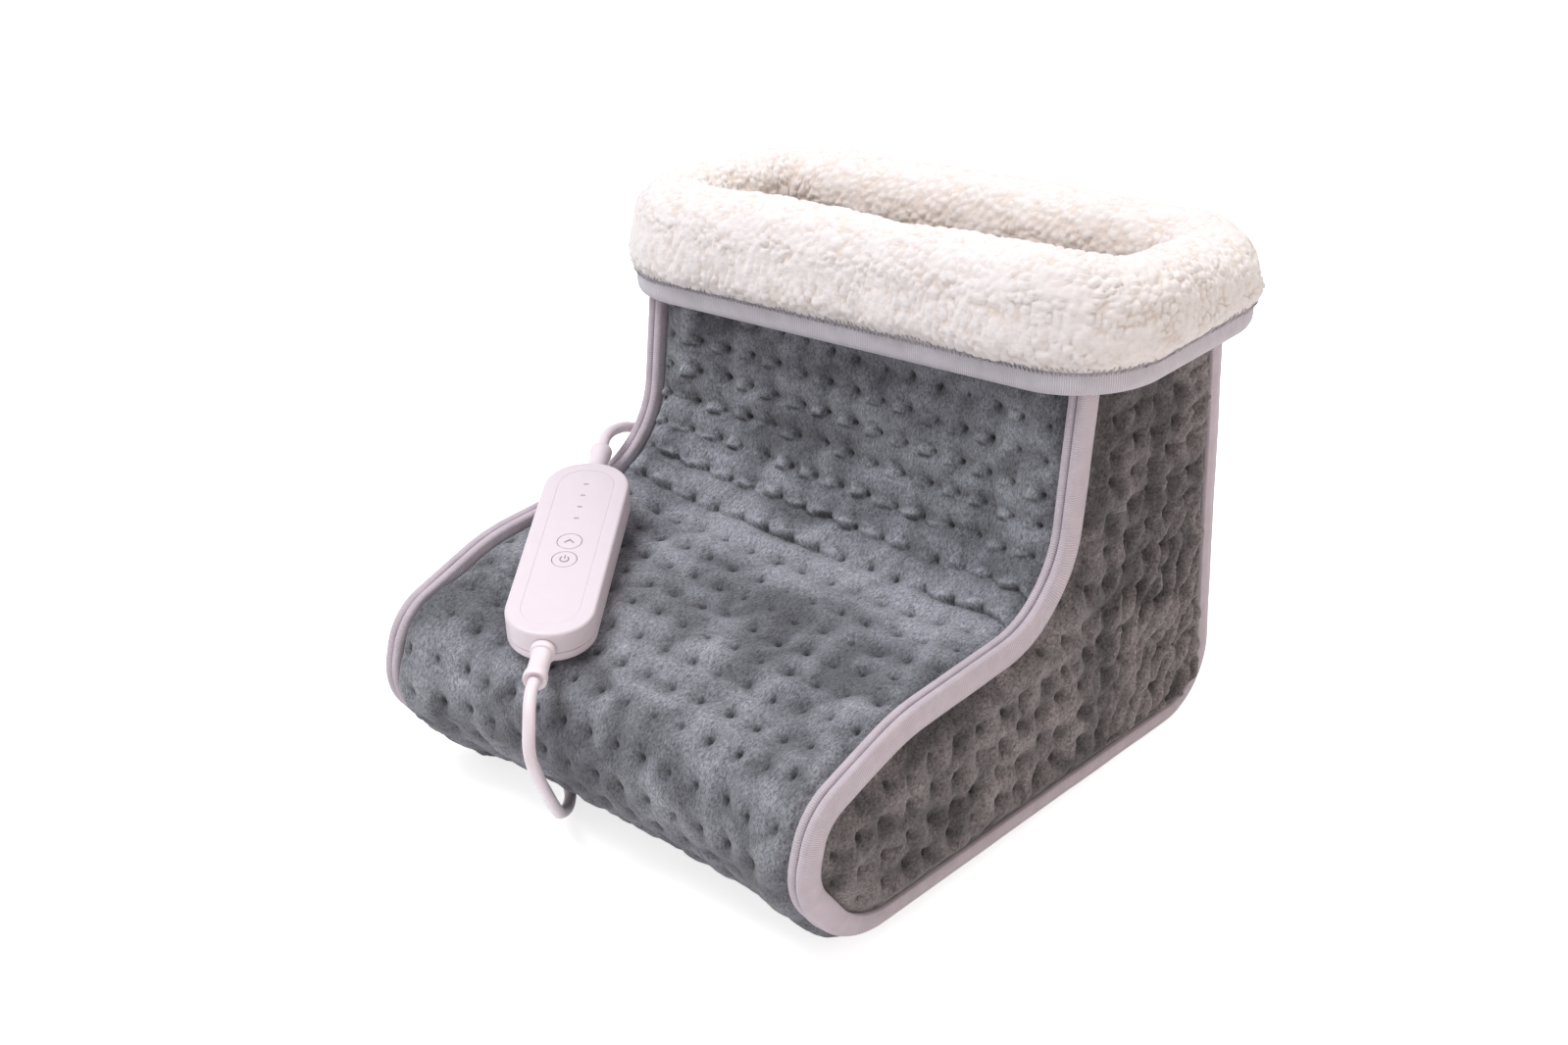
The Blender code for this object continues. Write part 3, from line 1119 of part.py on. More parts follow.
def coil_and_plug():
    """The coil behind the heel, its tie, and the plug beside it; returns the coil's first point."""
    points = coil_points()
    tube("cord_coil", points, CORD_RADIUS, WHITE_CORD, resolution=1)
    print(f"coil: least gap {least_gap(points) * 1000:.2f} mm")
    centre = from_heel(COIL_CENTRE_RIGHT, COIL_CENTRE_BEHIND, 0)
    half = COIL_TURNS / 2
    inner = COIL_MEAN_RADIUS - COIL_PITCH * half / 2
    outer = COIL_MEAN_RADIUS + COIL_PITCH * half / 2
    deep = outer - inner + 2 * CORD_RADIUS + 2 * TIE_CLEARANCE
    high = COIL_PITCH + 2 * CORD_RADIUS + 2 * TIE_CLEARANCE
    ring = rounded_rectangle(deep + 2 * TIE_WALL, high + 2 * TIE_WALL, TIE_ROUNDING + TIE_WALL, 3)
    hole = rounded_rectangle(deep, high, TIE_ROUNDING, 3)
    spoke = Matrix.Rotation(TIE_TURN, 4, "Z")
    up = Matrix.Rotation(math.pi / 2, 4, "X")
    lift = high / 2 + TIE_WALL
    place = Matrix.Translation(centre) @ spoke @ Matrix.Translation(((inner + outer) / 2, 0, lift)) @ up
    tie = plate("coil_tie", ring, -TIE_WIDTH / 2, TIE_WIDTH / 2, TIE_PLASTIC, place)
    boolean(tie, plate("tie_hole_cutter", hole, -TIE_WIDTH / 2 - CUT_OVERRUN, TIE_WIDTH / 2 + CUT_OVERRUN,
                       None, place), "DIFFERENCE")

    coil_end = points[-1] + Vector((TOUCH_GAP, 0, 0))
    axis_height = PLUG_BODY_HEIGHT / 2
    relief_tip = Vector((coil_end.x + PLUG_DISTANCE, coil_end.y, axis_height))
    lay = Matrix.Translation(relief_tip) @ Matrix.Rotation(math.pi / 2, 4, "Y")
    drop = coil_end.z - axis_height
    step = PLUG_DISTANCE / 4
    route = [coil_end, coil_end + Vector((step, 0, 0)), coil_end + Vector((2 * step, 0, -drop / 2)),
             relief_tip - Vector((step, 0, 0)), relief_tip - Vector((TOUCH_GAP, 0, 0))]
    tube("plug_lead", smooth_route(route, 5 * CORD_RADIUS), CORD_RADIUS, WHITE_CORD)
    profile = [(0, PLUG_RELIEF_LENGTH), (PLUG_RELIEF_ROOT, PLUG_RELIEF_LENGTH), (PLUG_RELIEF_TIP, 0), (0, 0)]
    turned("plug_relief", profile, WHITE_CORD, lay)
    body_start = PLUG_RELIEF_LENGTH + TOUCH_GAP
    block("plug_body", (PLUG_BODY_HEIGHT, PLUG_BODY_WIDTH, PLUG_BODY_LENGTH), PLUG_BODY_ROUNDING, WHITE_CORD,
          lay @ Matrix.Translation((0, 0, body_start + PLUG_BODY_LENGTH / 2)))
    face = body_start + PLUG_BODY_LENGTH + TOUCH_GAP
    end = face + PIN_LENGTH
    profile = [(0, end), (PIN_RADIUS - PIN_TIP, end), (PIN_RADIUS, end - PIN_TIP), (PIN_RADIUS, face),
               (0, face)]
    for index, side in enumerate((-1, 1)):
        spot = lay @ Matrix.Translation((0, side * PIN_SPACING / 2, 0))
        turned(f"plug_pin_{index + 1}", profile, NICKEL, spot, HOLE_STEPS)
    return points[0]


def cords(mouths, along, entry_tip, entry_out):
    """The lead from the boot to the control, and the mains cord from the control to the coil."""
    upper, lower = mouths
    reach = 3 * CORD_RADIUS
    lead = [entry_tip, entry_tip + entry_out * reach, *[from_heel(*spot) for spot in LEAD_ROUTE],
            upper - along * reach, upper]
    tube("boot_lead", smooth_route(lead, 5 * CORD_RADIUS), CORD_RADIUS, WHITE_CORD)
    coil_start = coil_and_plug()
    arrival = coil_start - Vector((0, TOUCH_GAP, 0))
    mains = [lower, lower + along * reach, *[from_heel(*spot) for spot in MAINS_ROUTE],
             arrival - Vector((0, 2 * reach, 0)), arrival]
    tube("mains_cord", smooth_route(mains, 5 * CORD_RADIUS), CORD_RADIUS, WHITE_CORD)


def build():
    """Make every piece of the foot warmer."""
    panel_path = boot_path(SEAM_RISE, 0)
    walked = path_lengths(panel_path)
    front_end = distance_to_reach(panel_path, walked, SOLE_FRONT_REACH + 2 * TOUCH_GAP)
    front = quilted_strip("front_panel", panel_path, 0, front_end, PLUSH)
    back_path = boot_path(SEAM_RISE, 2 * TOUCH_GAP)
    back_walked = path_lengths(back_path)
    back_start = distance_to_reach(back_path, back_walked, SOLE_BACK_REACH - 2 * TOUCH_GAP)
    quilted_strip("back_panel", back_path, back_start, back_walked[-1], PLUSH)
    sole_panel()
    for word, side in (("left", -1), ("right", 1)):
        side_panel(f"side_panel_{word}", side, PLUSH)
        groove = HALF_SEAM + GROOVE_GAP / 2
        binding(f"side_binding_{word}", groove, groove + TAPE_THICKNESS, side, TAPE)
        ridge = HALF_SEAM - GROOVE_GAP / 2
        binding(f"strip_binding_{word}", ridge - TAPE_THICKNESS, ridge, side, TAPE)
    fleece_liner()
    heater()
    cuff()
    frame, along, mouths = control(front)
    entry_tip, entry_out = lead_entry()
    cords(mouths, along, entry_tip, entry_out)
    print("control frame", [[round(value, 5) for value in row] for row in frame])
    for name, place in (("upper", mouths[0]), ("lower", mouths[1]), ("entry", entry_tip)):
        print(f"cord end, {name}", [round(value, 5) for value in place])


build()
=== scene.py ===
# %% [markdown]
# # An electric foot warmer, dressed over its frame
# The real object is a quilted boot for both feet: grey plush outside, curly fleece inside, bound seams
# that stand up like the edge of a cushion, and a small white hand control on its mains lead.
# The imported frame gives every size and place. Each step below replaces or dresses one of its pieces.

import math

import bmesh
import bpy
import numpy as np
from mathutils import Matrix, Vector, noise
from mathutils.geometry import delaunay_2d_cdt
from mathutils.kdtree import KDTree


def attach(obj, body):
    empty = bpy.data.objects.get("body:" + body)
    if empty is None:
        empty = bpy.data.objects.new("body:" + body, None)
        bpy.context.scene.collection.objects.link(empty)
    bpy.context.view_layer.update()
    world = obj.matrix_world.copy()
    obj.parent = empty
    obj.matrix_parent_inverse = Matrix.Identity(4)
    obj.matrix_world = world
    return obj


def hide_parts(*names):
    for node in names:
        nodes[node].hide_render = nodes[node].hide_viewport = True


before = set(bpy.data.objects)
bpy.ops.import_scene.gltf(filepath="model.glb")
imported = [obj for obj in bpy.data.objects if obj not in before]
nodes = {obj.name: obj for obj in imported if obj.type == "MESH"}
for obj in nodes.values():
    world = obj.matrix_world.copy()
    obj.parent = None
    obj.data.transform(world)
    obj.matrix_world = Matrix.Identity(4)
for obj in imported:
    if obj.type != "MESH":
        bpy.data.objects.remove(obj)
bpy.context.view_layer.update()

# %% [markdown]
# ## Hand tools
# Operators act on whatever is selected, so a few short helpers keep the selection honest: pick an
# object, add and apply a modifier, and put an object's place into its mesh.

# %% Select, modify, settle
MM = 0.001


def pick(*objects):
    """Select these objects and nothing else; the first becomes active."""
    if bpy.context.object and bpy.context.object.mode != "OBJECT":
        bpy.ops.object.mode_set(mode="OBJECT")
    bpy.ops.object.select_all(action="DESELECT")
    for item in objects:
        item.select_set(True)
    bpy.context.view_layer.objects.active = objects[0]


def modify(piece, kind, **settings):
    """Add a modifier, set it and apply it."""
    pick(piece)
    step = piece.modifiers.new(kind.lower(), kind)
    for name, value in settings.items():
        setattr(step, name, value)
    bpy.ops.object.modifier_apply(modifier=step.name)


def settle(piece, name, material, angle=40.0):
    """Name a piece, put its place into its mesh, shade it smooth up to an angle, and give it its finish."""
    pick(piece)
    piece.name = name
    piece.data.name = name
    bpy.ops.object.transform_apply(location=True, rotation=True, scale=True)
    bpy.ops.object.shade_smooth_by_angle(angle=math.radians(angle))
    piece.data.materials.clear()
    piece.data.materials.append(material)
    return piece


def belongs(piece, body, slot, *stands_for):
    """Let a piece move with a body and hide the frame's nodes that it stands for; the slot is not used."""
    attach(piece, body)
    if stands_for:
        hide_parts(*stands_for)
    return piece


def mark(piece, name, values):
    """Keep a value on each point, such as a painted shade in the pits; points behind the last value keep 0.
    """
    kept = np.zeros(len(piece.data.vertices), np.float32)
    kept[:len(values)] = values
    piece.data.attributes.new(name, "FLOAT", "POINT").data.foreach_set("value", kept)


def mesh_piece(name, points, faces, material, angle=180.0):
    """A piece from a grid of points, with its faces pointing out."""
    data = bpy.data.meshes.new(name)
    data.from_pydata([tuple(point) for point in points], [], faces)
    data.validate()
    made = bpy.data.objects.new(name, data)
    bpy.context.scene.collection.objects.link(made)
    pick(made)
    bpy.ops.object.mode_set(mode="EDIT")
    bpy.ops.mesh.select_all(action="SELECT")
    bpy.ops.mesh.normals_make_consistent(inside=False)
    bpy.ops.object.mode_set(mode="OBJECT")
    return settle(made, name, material, angle)


# %% [markdown]
# ## Finishes
# Colours are written as sRGB hex and turned to linear light by one function. Pattern scales come from
# millimetres on the real surface. One helper adds a node with its settings and wires.

# %% Colour and node helpers
def linear(code):
    """An sRGB hex colour as linear RGBA."""
    parts = [int(code[i:i + 2], 16) / 255 for i in (1, 3, 5)]
    return (*[c / 12.92 if c <= 0.04045 else ((c + 0.055) / 1.055) ** 2.4 for c in parts], 1.0)


def add_node(tree, kind, inputs=None, **settings):
    """Add a node, set its properties, and set or wire its inputs."""
    made = tree.nodes.new(kind)
    for name, value in settings.items():
        setattr(made, name, value)
    for name, value in (inputs or {}).items():
        if isinstance(value, bpy.types.NodeSocket):
            tree.links.new(value, made.inputs[name])
        else:
            made.inputs[name].default_value = value
    return made


def new_material(name, colour, roughness, metallic=0.0, **sockets):
    """A Principled material with its plain values; patterns are wired in afterwards."""
    made = bpy.data.materials.new(name)
    made.use_nodes = True
    shader = made.node_tree.nodes["Principled BSDF"]
    shader.inputs["Base Color"].default_value = linear(colour)
    shader.inputs["Roughness"].default_value = roughness
    shader.inputs["Metallic"].default_value = metallic
    for socket, value in sockets.items():
        shader.inputs[socket.replace("_", " ")].default_value = value
    return made, made.node_tree, shader


def wave_scale(pitch):
    """Scale of a Wave texture whose bands lie a pitch apart, in metres."""
    return math.pi / (10 * pitch)


def mixed(tree, share, first, second):
    """A colour mix between two colours or sockets by a share."""
    return add_node(tree, "ShaderNodeMix", {0: share, 6: first, 7: second}, data_type="RGBA").outputs[2]


def ranged(tree, value, before=(0.0, 1.0), after=(0.0, 1.0)):
    """A value moved from one range to another, and held inside it."""
    return add_node(tree, "ShaderNodeMapRange", {"Value": value, "From Min": before[0], "From Max": before[1],
                                                 "To Min": after[0], "To Max": after[1]}).outputs[0]


def bumped(tree, shader, height, depth, strength=1.0):
    """Wire a height into the shader's normal, with its depth in metres."""
    bump = add_node(tree, "ShaderNodeBump", {"Height": height, "Distance": depth, "Strength": strength})
    tree.links.new(bump.outputs[0], shader.inputs["Normal"])


# %% [markdown]
# ### Plush
# Short-pile polyester plush. Its nap lies over in patches, so the same cloth looks lighter where the
# hairs tip toward the light and darker where they tip away. Sheen gives the pale edge that velvet shows.
# The hairs are about 0.1 mm thick, too fine to show, so the nap is drawn as streaks of 0.9 mm. Two values
# kept on the mesh steer the colour. One is painted shade where a stitch or a crease sinks in. The other is
# painted light and shade: paler on crowns, just below the instep bend and low on the sides' backs, and
# darker in hollows and on the shaft under the cuff. The sides take a darker, warmer copy of the same cloth:
# painted shade, as they get less light than the top.

# %% Plush material
NAP_PATCH = 30 * MM
NAP_STREAK = 0.9 * MM


def plush(name, light, dark, grain=0.7):
    """Plush with nap patches, a fine directional nap, painted shade in pits and creases and painted light
    kept on the mesh.
    """
    made, tree, shader = new_material(name, light, 0.95, Sheen_Weight=0.22, Sheen_Roughness=0.45,
                                      Specular_IOR_Level=0.12)
    place = add_node(tree, "ShaderNodeTexCoord").outputs["Object"]
    patches = add_node(tree, "ShaderNodeTexNoise", {"Vector": place, "Scale": 1 / NAP_PATCH, "Detail": 3.0,
                                                    "Roughness": 0.5, "Distortion": 0.6})
    # Painted light and shade kept on the mesh, added to the random nap patches.
    lean = add_node(tree, "ShaderNodeAttribute", attribute_name="lean").outputs["Fac"]
    lean = add_node(tree, "ShaderNodeMath", {0: patches.outputs[0], 1: lean}, operation="ADD")
    share = ranged(tree, lean.outputs[0], (0.3, 0.75))
    coarse = mixed(tree, share, linear(dark), linear(light))
    streaks = add_node(tree, "ShaderNodeMapping", {"Vector": place, "Scale": (1.0, 0.5, 0.5)})
    nap = add_node(tree, "ShaderNodeTexNoise", {"Vector": streaks.outputs[0], "Scale": 1 / NAP_STREAK,
                                                "Detail": 2.0, "Roughness": 0.6, "Distortion": 0.8})
    fleck = ranged(tree, nap.outputs[0], (0.32, 0.68), (0.55, 1.45))
    # Painted shade where stitches, grooves and lapped edges sink in, darkening the colour.
    painted_hollow_shade = add_node(tree, "ShaderNodeAttribute", attribute_name="painted_hollow_shade").outputs["Fac"]
    painted_shade_factor = ranged(tree, painted_hollow_shade, (0.05, 0.85), (1.0, 0.38))
    tone = add_node(tree, "ShaderNodeMath", {0: fleck, 1: painted_shade_factor}, operation="MULTIPLY")
    tinted = add_node(tree, "ShaderNodeVectorMath", {0: coarse, "Scale": tone.outputs[0]}, operation="SCALE")
    tree.links.new(tinted.outputs[0], shader.inputs["Base Color"])
    bumped(tree, shader, nap.outputs[0], 0.8 * MM, grain)
    return made


GREY_PLUSH = plush("grey_polyester_plush", "#9B9DA4", "#636469")
# A darker, warmer copy of the plush for the sides: painted shade, since the sides get less light.
SHADED_SIDE_PLUSH = plush("grey_polyester_plush_painted_side_shade", "#8A8383", "#504C4D", 0.4)

# %% [markdown]
# ### Tape
# The seams are bound with ribbed polyester tape. Its ribs run across the tape about 1.1 mm apart, so the
# pattern follows the tape's own length, which each strip keeps in its UV map in metres.

# %% Tape material
RIB_PITCH = 1.1 * MM


def ribbed_tape(name, light, dark):
    """Ribbed tape, ribs across its length."""
    made, tree, shader = new_material(name, light, 0.8, Sheen_Weight=0.15, Specular_IOR_Level=0.3)
    place = add_node(tree, "ShaderNodeUVMap", uv_map="tape").outputs[0]
    ribs = add_node(tree, "ShaderNodeTexWave", {"Vector": place, "Scale": wave_scale(RIB_PITCH),
                                                "Distortion": 0.8, "Detail": 1.0, "Detail Scale": 2.0},
                    bands_direction="Y")
    soil = add_node(tree, "ShaderNodeTexNoise", {"Vector": place, "Scale": 1 / (9 * MM), "Detail": 3.0})
    tone = add_node(tree, "ShaderNodeMath", {0: ribs.outputs[1], 1: soil.outputs[0]}, operation="MULTIPLY")
    share = ranged(tree, tone.outputs[0], (0.1, 0.6))
    tree.links.new(mixed(tree, share, linear(dark), linear(light)), shader.inputs["Base Color"])
    bumped(tree, shader, ribs.outputs[1], 0.25 * MM, 0.6)
    return made


LILAC_TAPE = ribbed_tape("lilac_grey_ribbed_tape", "#D9CDD5", "#BCB2B9")
HEM_TAPE = ribbed_tape("blue_grey_ribbed_hem_tape", "#DBD6DD", "#BEB9C0")

# %% [markdown]
# ### Curly fleece
# Sherpa fleece: cream polyester curled into clumps of 4 to 7 mm. Light bounces between the white fibres, so
# the deep places stay fairly pale and turn warm; that shade is painted into the colour, a warmer, darker
# crevice colour by how high a point lies, which each mesh carries in "pile_height". The clumps are in the
# mesh, and the smaller curls of 2.4 mm in the bump. A fibre of 0.02 mm can't show, so the fibres are drawn at
# 0.8 mm.

# %% Fleece material
SMALL_CURL = 2.4 * MM
CURL_FIBRE = 0.8 * MM


def curly_fleece(name, crown, painted_crevice_shade):
    """Cream fleece with a painted warm shade in its crevices, with small curls and fibres."""
    made, tree, shader = new_material(name, crown, 1.0, Sheen_Weight=0.4, Sheen_Roughness=0.6,
                                      Specular_IOR_Level=0.05)
    place = add_node(tree, "ShaderNodeTexCoord").outputs["Object"]
    depth = add_node(tree, "ShaderNodeAttribute", attribute_name="pile_height").outputs["Fac"]
    fibres = add_node(tree, "ShaderNodeTexNoise", {"Vector": place, "Scale": 1 / CURL_FIBRE, "Detail": 2.0,
                                                   "Roughness": 0.6, "Distortion": 1.0})
    bend = add_node(tree, "ShaderNodeTexNoise", {"Vector": place, "Scale": 1 / (3 * MM), "Detail": 1.0})
    bent = add_node(tree, "ShaderNodeVectorMath", {0: bend.outputs["Color"], "Scale": 1.6 * MM},
                    operation="SCALE")
    bent = add_node(tree, "ShaderNodeVectorMath", {0: place, 1: bent.outputs[0]}, operation="ADD")
    small = add_node(tree, "ShaderNodeTexVoronoi", {"Vector": bent.outputs[0], "Scale": 1 / SMALL_CURL,
                                                    "Smoothness": 0.4}, feature="SMOOTH_F1")
    round_top = add_node(tree, "ShaderNodeMath", {0: small.outputs["Distance"], 1: -1.0, 2: 1.0},
                         operation="MULTIPLY_ADD")
    pile = add_node(tree, "ShaderNodeMath", {0: fibres.outputs[0], 1: 0.35, 2: round_top.outputs[0]},
                    operation="MULTIPLY_ADD")
    # Painted shade: the lower a point lies in the pile, the more of the darker, warmer crevice colour it
    # takes.
    share = ranged(tree, depth, (0.05, 0.5))
    tree.links.new(mixed(tree, share, linear(painted_crevice_shade), linear(crown)), shader.inputs["Base Color"])
    bumped(tree, shader, pile.outputs[0], 0.9 * MM, 0.32)
    return made


# The second colour is the painted crevice shade.
CREAM_FLEECE = curly_fleece("cream_sherpa_fleece", "#ECE6E3", "#DFD1C6")

# %% [markdown]
# ### Moulded plastics and what is inside
# The control is ABS with a fine spark-eroded grain, a touch pink. The cord is soft PVC, a little glossier.
# Pieces inside the case and the sole are rarely seen, and still get the finish that they really have. Each
# grain is under 0.1 mm on the real piece and is drawn at 0.3 to 1.5 mm, as coarse as it needs to show.

# %% Plastics, metals and inner finishes
GRAIN = 0.5 * MM


def grained(name, light, dark, roughness, grain, depth, patch=8 * MM, metallic=0.0, **sockets):
    """A finish with a fine grain and a faint change of tone."""
    made, tree, shader = new_material(name, light, roughness, metallic, **sockets)
    place = add_node(tree, "ShaderNodeTexCoord").outputs["Object"]
    tone = add_node(tree, "ShaderNodeTexNoise", {"Vector": place, "Scale": 1 / patch, "Detail": 3.0})
    tree.links.new(mixed(tree, tone.outputs[0], linear(dark), linear(light)), shader.inputs["Base Color"])
    pits = add_node(tree, "ShaderNodeTexNoise", {"Vector": place, "Scale": 1 / grain, "Detail": 2.0})
    rough = ranged(tree, pits.outputs[0], after=(roughness - 0.06, roughness + 0.06))
    tree.links.new(rough, shader.inputs["Roughness"])
    bumped(tree, shader, pits.outputs[0], depth, 0.5)
    return made


WHITE_ABS = grained("pinkish_white_moulded_abs", "#E4D9DF", "#DED3D9", 0.40, GRAIN, 0.03 * MM)
WHITE_PVC = grained("pinkish_white_extruded_pvc", "#EFE4E8", "#E8DCE1", 0.45, 0.8 * MM, 0.03 * MM)
MARK_INK = grained("grey_pad_printed_ink", "#8C8288", "#80767C", 0.6, 0.3 * MM, 0.01 * MM)
SMOKED_LENS = grained("smoked_polycarbonate_lens", "#C9BFC4", "#BBB1B6", 0.2, 0.6 * MM, 0.005 * MM)
PAD_FELT = grained("needled_polyester_felt", "#DAD7D2", "#C6C2BC", 0.95, 0.7 * MM, 0.5 * MM, Sheen_Weight=0.3)
SILICONE = grained("red_silicone_insulation", "#A8382F", "#92302A", 0.5, 1.0 * MM, 0.05 * MM)
LAMINATE = grained("green_solder_mask_laminate", "#2E6B43", "#255A38", 0.45, 1.5 * MM, 0.05 * MM)
EPOXY = grained("black_moulded_epoxy", "#2B2B2D", "#222224", 0.55, 0.4 * MM, 0.03 * MM)
RESIN = grained("cast_led_resin", "#E9E4D6", "#DED8C8", 0.25, 1.0 * MM, 0.01 * MM)
FUSE_TUBE = grained("ceramic_fuse_tube", "#E4E2DC", "#D4D2CB", 0.35, 0.7 * MM, 0.02 * MM)
ZINC_STEEL = grained("zinc_plated_steel", "#C9C9C4", "#B5B5B2", 0.35, 0.6 * MM, 0.02 * MM, metallic=1.0)
NICKEL = grained("nickel_plated_brass", "#D2CFC7", "#C4C0B8", 0.22, 0.9 * MM, 0.01 * MM, metallic=1.0)
STRAP = grained("woven_nylon_strap", "#D8D4D6", "#C2BEC1", 0.75, 0.6 * MM, 0.15 * MM)
THREAD = grained("grey_polyester_thread", "#D8D3DA", "#C6C1C9", 0.6, 0.5 * MM, 0.05 * MM)
SOLE_CLOTH = grained("dark_grey_polyester_weave", "#5A5D61", "#4B4E52", 0.9, 0.8 * MM, 0.2 * MM)
GRIP_DOT = grained("grey_pvc_grip_dots", "#6F7276", "#65686C", 0.6, 0.5 * MM, 0.03 * MM)

# %% [markdown]
# ## Camera
# The camera stands where the photograph was taken from: about 41 degrees to the right of the toe and 27
# degrees up, with a 51.5 mm lens. It comes before the cords, because their hidden length has to stay
# outside its view.

# %% Camera
CAMERA_PLACE = (0.6308, -0.7565, 0.6349)
CAMERA_RIGHT = (0.75752, 0.65281, -0.00133)
CAMERA_UP = (-0.30077, 0.35082, 0.88683)
CAMERA_BACK = (0.57939, -0.67139, 0.46210)
bpy.ops.object.camera_add(location=CAMERA_PLACE)
camera = bpy.context.object
axes = Matrix((CAMERA_RIGHT, CAMERA_UP, CAMERA_BACK)).transposed()
camera.matrix_world = Matrix.Translation(CAMERA_PLACE) @ axes.to_4x4()
camera.data.lens = 51.51
camera.data.sensor_width = 36.0
camera.data.clip_start, camera.data.clip_end = 0.05, 20.0
bpy.context.scene.camera = camera

# %% [markdown]
# ## Cords
# Two cords of soft 6 mm PVC. The short lead runs from the entry on the left ankle up to the control. The
# mains cord leaves the control's lower end, hangs over the toe, passes under it and along the left side,
# and its spare length is wound in a neat coil behind the heel, with the plug beside it. The stations are
# those of the frame: right of the middle, behind the heel's rim, height.

# %% Cord stations
CORD_RADIUS = 3.0 * MM
MIDDLE = 0.16232
REACH = 3 * CORD_RADIUS
CONTROL_FRAME = Matrix(((0.56682, 0.81915, 0.08775, -0.074), (-0.80951, 0.57358, -0.12532, -0.09868),
                        (-0.15299, 0.0, 0.98823, 0.11364), (0.0, 0.0, 0.0, 1.0)))
CONTROL_ALONG = CONTROL_FRAME.to_3x3() @ Vector((1, 0, 0))
UPPER_END = Vector((-0.12636, -0.0239, 0.13051))
LOWER_END = Vector((-0.02116, -0.17414, 0.10211))
ENTRY_TIP = Vector((-0.14365, 0.03332, 0.109))
ENTRY_OUT = Vector((0.0, -0.70711, 0.70711))
LEAD_ROUTE = [(-0.1433, -0.1390, 0.1195), (-0.1410, -0.1483, 0.1257), (-0.1370, -0.1633, 0.1317),
              (-0.1325, -0.1766, 0.1330)]
MAINS_ROUTE = [(-0.0095, -0.3515, 0.0925), (-0.0070, -0.3545, 0.0790), (-0.0090, -0.3495, 0.0645),
               (-0.0160, -0.3375, 0.0440), (-0.0270, -0.3220, 0.0220), (-0.0375, -0.3095, 0.0090),
               (-0.0445, -0.2985, 0.0037), (-0.0540, -0.2880, 0.0032), (-0.0670, -0.2810, 0.0032),
               (-0.0850, -0.2795, 0.0032), (-0.1150, -0.2795, 0.0032), (-0.1380, -0.2780, 0.0032),
               (-0.1560, -0.2660, 0.0032), (-0.1660, -0.2460, 0.0032), (-0.1690, -0.2150, 0.0032),
               (-0.1680, -0.1600, 0.0032), (-0.1655, -0.1000, 0.0032), (-0.1630, -0.0400, 0.0034),
               (-0.1618, 0.0100, 0.0044)]
COIL_CENTRE = Vector((-0.1180, MIDDLE + 0.0640, 0))
COIL_MEAN_RADIUS = 0.0350
COIL_TURNS = 5.25
COIL_PITCH = 0.0066
COIL_LOW = 0.0050
PLUG_DISTANCE = 0.0560
PLUG_AXIS_HEIGHT = 0.00685


def coil_line():
    """The coil's centreline: in along the floor layer, up, and out again on top."""
    half = COIL_TURNS / 2
    inner = COIL_MEAN_RADIUS - COIL_PITCH * half / 2
    count = round(COIL_TURNS * 24)
    line = []
    for step in range(count + 1):
        turn = COIL_TURNS * step / count
        radius = inner + COIL_PITCH * abs(turn - half)
        climb = max(0, min(1, (turn - half) * 2 + 1 / 2))
        climb = climb * climb * (3 - 2 * climb)
        angle = math.pi - math.tau * turn
        line.append(COIL_CENTRE + Vector((radius * math.cos(angle), radius * math.sin(angle),
                                          COIL_LOW + COIL_PITCH * climb)))
    return line


def cord_curve(name, points, material):
    """A smooth round cord through points, as one curve."""
    data = bpy.data.curves.new(name, "CURVE")
    data.dimensions = "3D"
    data.bevel_depth = CORD_RADIUS
    data.bevel_resolution = 4
    data.resolution_u = 5
    data.use_fill_caps = True
    spline = data.splines.new("BEZIER")
    spline.bezier_points.add(len(points) - 1)
    for knot, place in zip(spline.bezier_points, points):
        knot.co = place
        knot.handle_left_type = knot.handle_right_type = "AUTO"
    made = bpy.data.objects.new(name, data)
    bpy.context.scene.collection.objects.link(made)
    data.materials.append(material)
    return made


def line_length(curve):
    """Length of a cord's centreline as it is drawn."""
    return curve.data.splines[0].calc_length()


# %% Lay the cords
from_heel = [Vector((x, MIDDLE + y, z)) for x, y, z in LEAD_ROUTE]
lead = cord_curve("boot_lead_cord", [ENTRY_TIP, ENTRY_TIP + ENTRY_OUT * REACH, *from_heel,
                                     UPPER_END - CONTROL_ALONG * REACH, UPPER_END], WHITE_PVC)
coil = coil_line()
coil_start = coil[0] - Vector((0, 2 * CORD_RADIUS, 0))
coil_end = coil[-1] + Vector((2 * CORD_RADIUS, 0, 0))
plug_root = Vector((coil_end.x + PLUG_DISTANCE, coil_end.y, PLUG_AXIS_HEIGHT))
drop = coil_end.z - PLUG_AXIS_HEIGHT
step_x = Vector((PLUG_DISTANCE / 4, 0, 0))
from_heel = [Vector((x, MIDDLE + y, z)) for x, y, z in MAINS_ROUTE]
mains = cord_curve("mains_supply_cord", [LOWER_END, LOWER_END + CONTROL_ALONG * REACH, *from_heel,
                                         coil_start - Vector((0, 2 * REACH, 0)), coil_start, *coil,
                                         coil_end, coil_end + step_x,
                                         coil_end + 2 * step_x - Vector((0, 0, drop / 2)),
                                         plug_root - step_x, plug_root], WHITE_PVC)
belongs(lead, "boot", "pinkish_white_pvc", "boot_lead")
belongs(mains, "boot", "pinkish_white_pvc", "mains_cord", "cord_coil", "plug_lead")
print("lead", round(line_length(lead), 3), "m; mains cord", round(line_length(mains), 3), "m")

# %% [markdown]
# ## The boot's outline
# Every seam follows one side outline: down the front of the shaft, over the toe, under it and up the heel.
# Lines drawn parallel to it give the tapes and the panels. Corners keep the frame's own values.

# %% Side outline
OUTLINE = [(-0.1367, 0.2360, 0), (-0.1490, 0.1165, 0.045), (-0.2640, 0.1130, 0.105), (-0.3255, 0.0930, 0.032),
           (-0.3360, 0.0540, 0.0351), (-0.3020, 0.0090, 0.058), (0, 0, 0.034), (-0.0180, 0.2360, 0)]
FILLET_STEPS = 16


